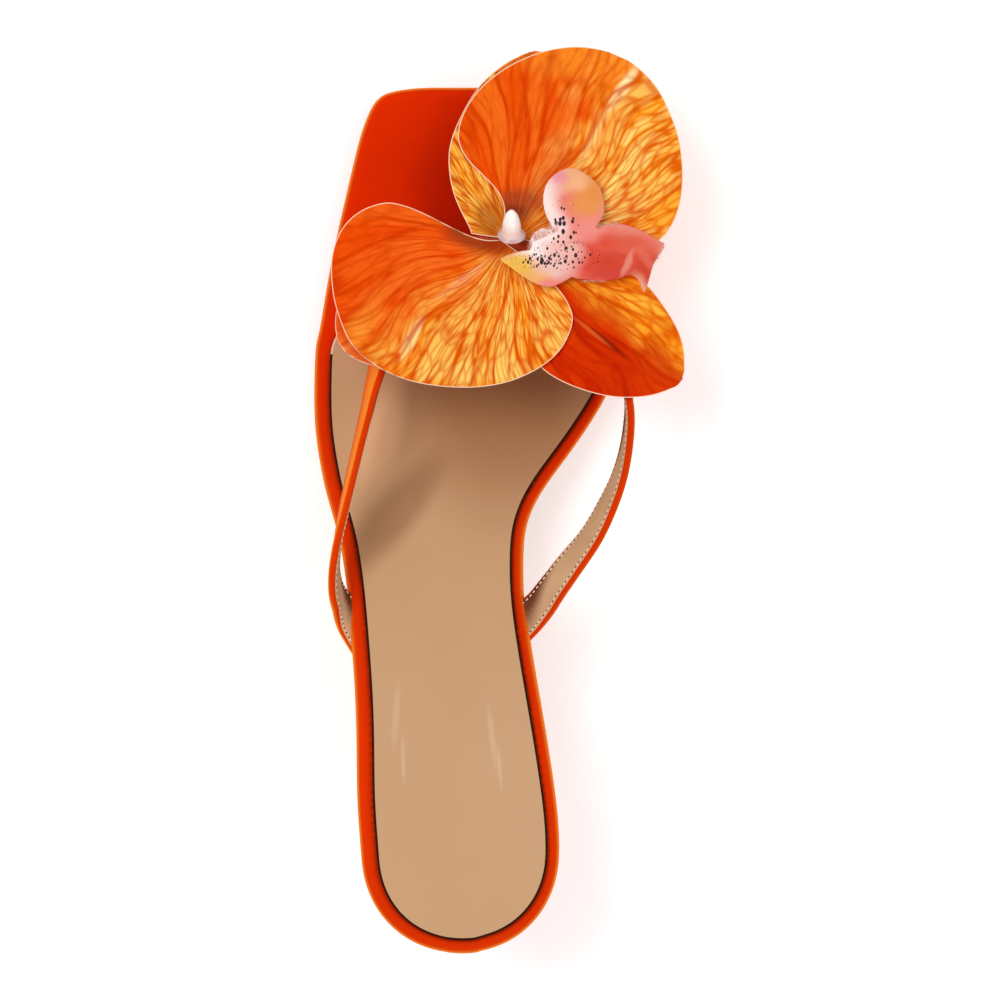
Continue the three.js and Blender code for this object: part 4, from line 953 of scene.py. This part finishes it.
# It stands on the highest of this many points of the lip around its root
HAIR_STAND = 12
lip_surface = seen_from_above([vertex.co for vertex in lip.data.vertices])
bpy.ops.mesh.primitive_cone_add(vertices=4, radius1=HAIR_ROOT * MM, radius2=HAIR_TIP * MM, depth=MM,
                                location=(0, 0, 0))
hair = bpy.context.active_object
select_only(hair)
bpy.ops.object.mode_set(mode="EDIT")
bpy.ops.mesh.select_all(action="SELECT")
bpy.ops.transform.translate(value=(0, 0, (0.5 - HAIR_DEPTH) * MM))
bpy.ops.object.mode_set(mode="OBJECT")
hair.data.materials.append(cut_edge("lip_fringe_hair", "#f0b0a0", "#fbe6dc"))
hair.data.materials.append(cut_edge("lip_fringe_painted_shade", "#c87868", "#e8a898"))
random.seed(7)
fringe = []
for start, end, turn, count, long in FRINGES:
    for i in range(count):
        share = (i + random.random()) / count
        spot = Vector(start).lerp(Vector(end), share)
        one = in_scene("hair", hair.data.copy())
        lean = math.radians(turn + random.uniform(-HAIR_STRAY, HAIR_STRAY))
        aim = Vector((math.cos(lean), math.sin(lean), random.uniform(*HAIR_RISE)))
        root = place(LIP.x + spot.x, LIP.y + spot.y)
        near = lip_surface.find_n(root, HAIR_STAND)
        at = Vector((root.x, root.y, max(lip.data.vertices[index].co.z for _, index, _ in near)))
        size = Vector((1, 1, long * random.uniform(*HAIR_LENGTH)))
        # These hairs take the darker finish: painted shade between the hairs
        if random.random() < HAIR_PAINTED_SHADE:
            for face in one.data.polygons:
                face.material_index = 1
        one.matrix_world = Matrix.LocRotScale(at, aim.to_track_quat("Z", "Y"), size)
        fringe.append(one)
bpy.data.objects.remove(hair)
select_only(*fringe)
bpy.ops.object.join()
fringe = bpy.context.active_object
fringe.name = "lip_fringe"
bpy.ops.object.transform_apply(location=True, rotation=True, scale=True)
worn_by(fringe, "lip_pink")


# Floor, light and the view from straight above

bpy.ops.mesh.primitive_plane_add(size=6, location=(0, 0, 0))
floor = bpy.context.active_object
floor.name = "floor"
pale, tree, shader = material("floor_pale_paper", Roughness=0.9, Specular_IOR_Level=0.1,
                              Emission_Color=paint("#ffffff"), Emission_Strength=0.3)
paper = add(tree, "TexNoise", {"Vector": add(tree, "TexCoord", {}, "Object"), "Scale": 3})
tone = add(tree, "Mix", {0: paper, 6: paint("#f6f5f4"), 7: paint("#faf9f8")}, 2, data_type="RGBA")
tree.links.new(tone, shader.inputs["Base Color"])
floor.data.materials.append(pale)

# Softboxes: place in metres, width and power
LIGHTS = [
    ("key_softbox", (-0.8, 0.5, 1.7), 1.2, 15),
    ("fill_softbox", (1.1, 0.2, 1.5), 1.2, 7),
    ("back_softbox", (0.2, -1.3, 1.4), 1.2, 6),
]
for name, spot, size, power in LIGHTS:
    data = bpy.data.lights.new(name, "AREA")
    data.shape = "DISK"
    data.size = size
    data.energy = power
    lamp = in_scene(name, data)
    lamp.location = spot
    lamp.rotation_euler = (-Vector(spot)).to_track_quat("-Z", "Y").to_euler()

world = bpy.data.worlds.new("pale_room")
world.use_nodes = True
world.node_tree.nodes["Background"].inputs["Color"].default_value = paint("#f8f8fa")
world.node_tree.nodes["Background"].inputs["Strength"].default_value = 0.5
bpy.context.scene.world = world
bpy.context.scene.view_settings.view_transform = "Standard"

# The camera's place, the width of floor that it shows and the width of its sensor, in millimetres
EYE = (0.53, -0.84, 1900)
FRAME_WIDTH = 277.26
SENSOR = 36
eye = bpy.data.cameras.new("view_from_above")
eye.sensor_width = SENSOR
eye.lens = SENSOR * EYE[2] / FRAME_WIDTH
camera = in_scene("view_from_above", eye)
camera.location = [part * MM for part in EYE]
bpy.context.scene.camera = camera
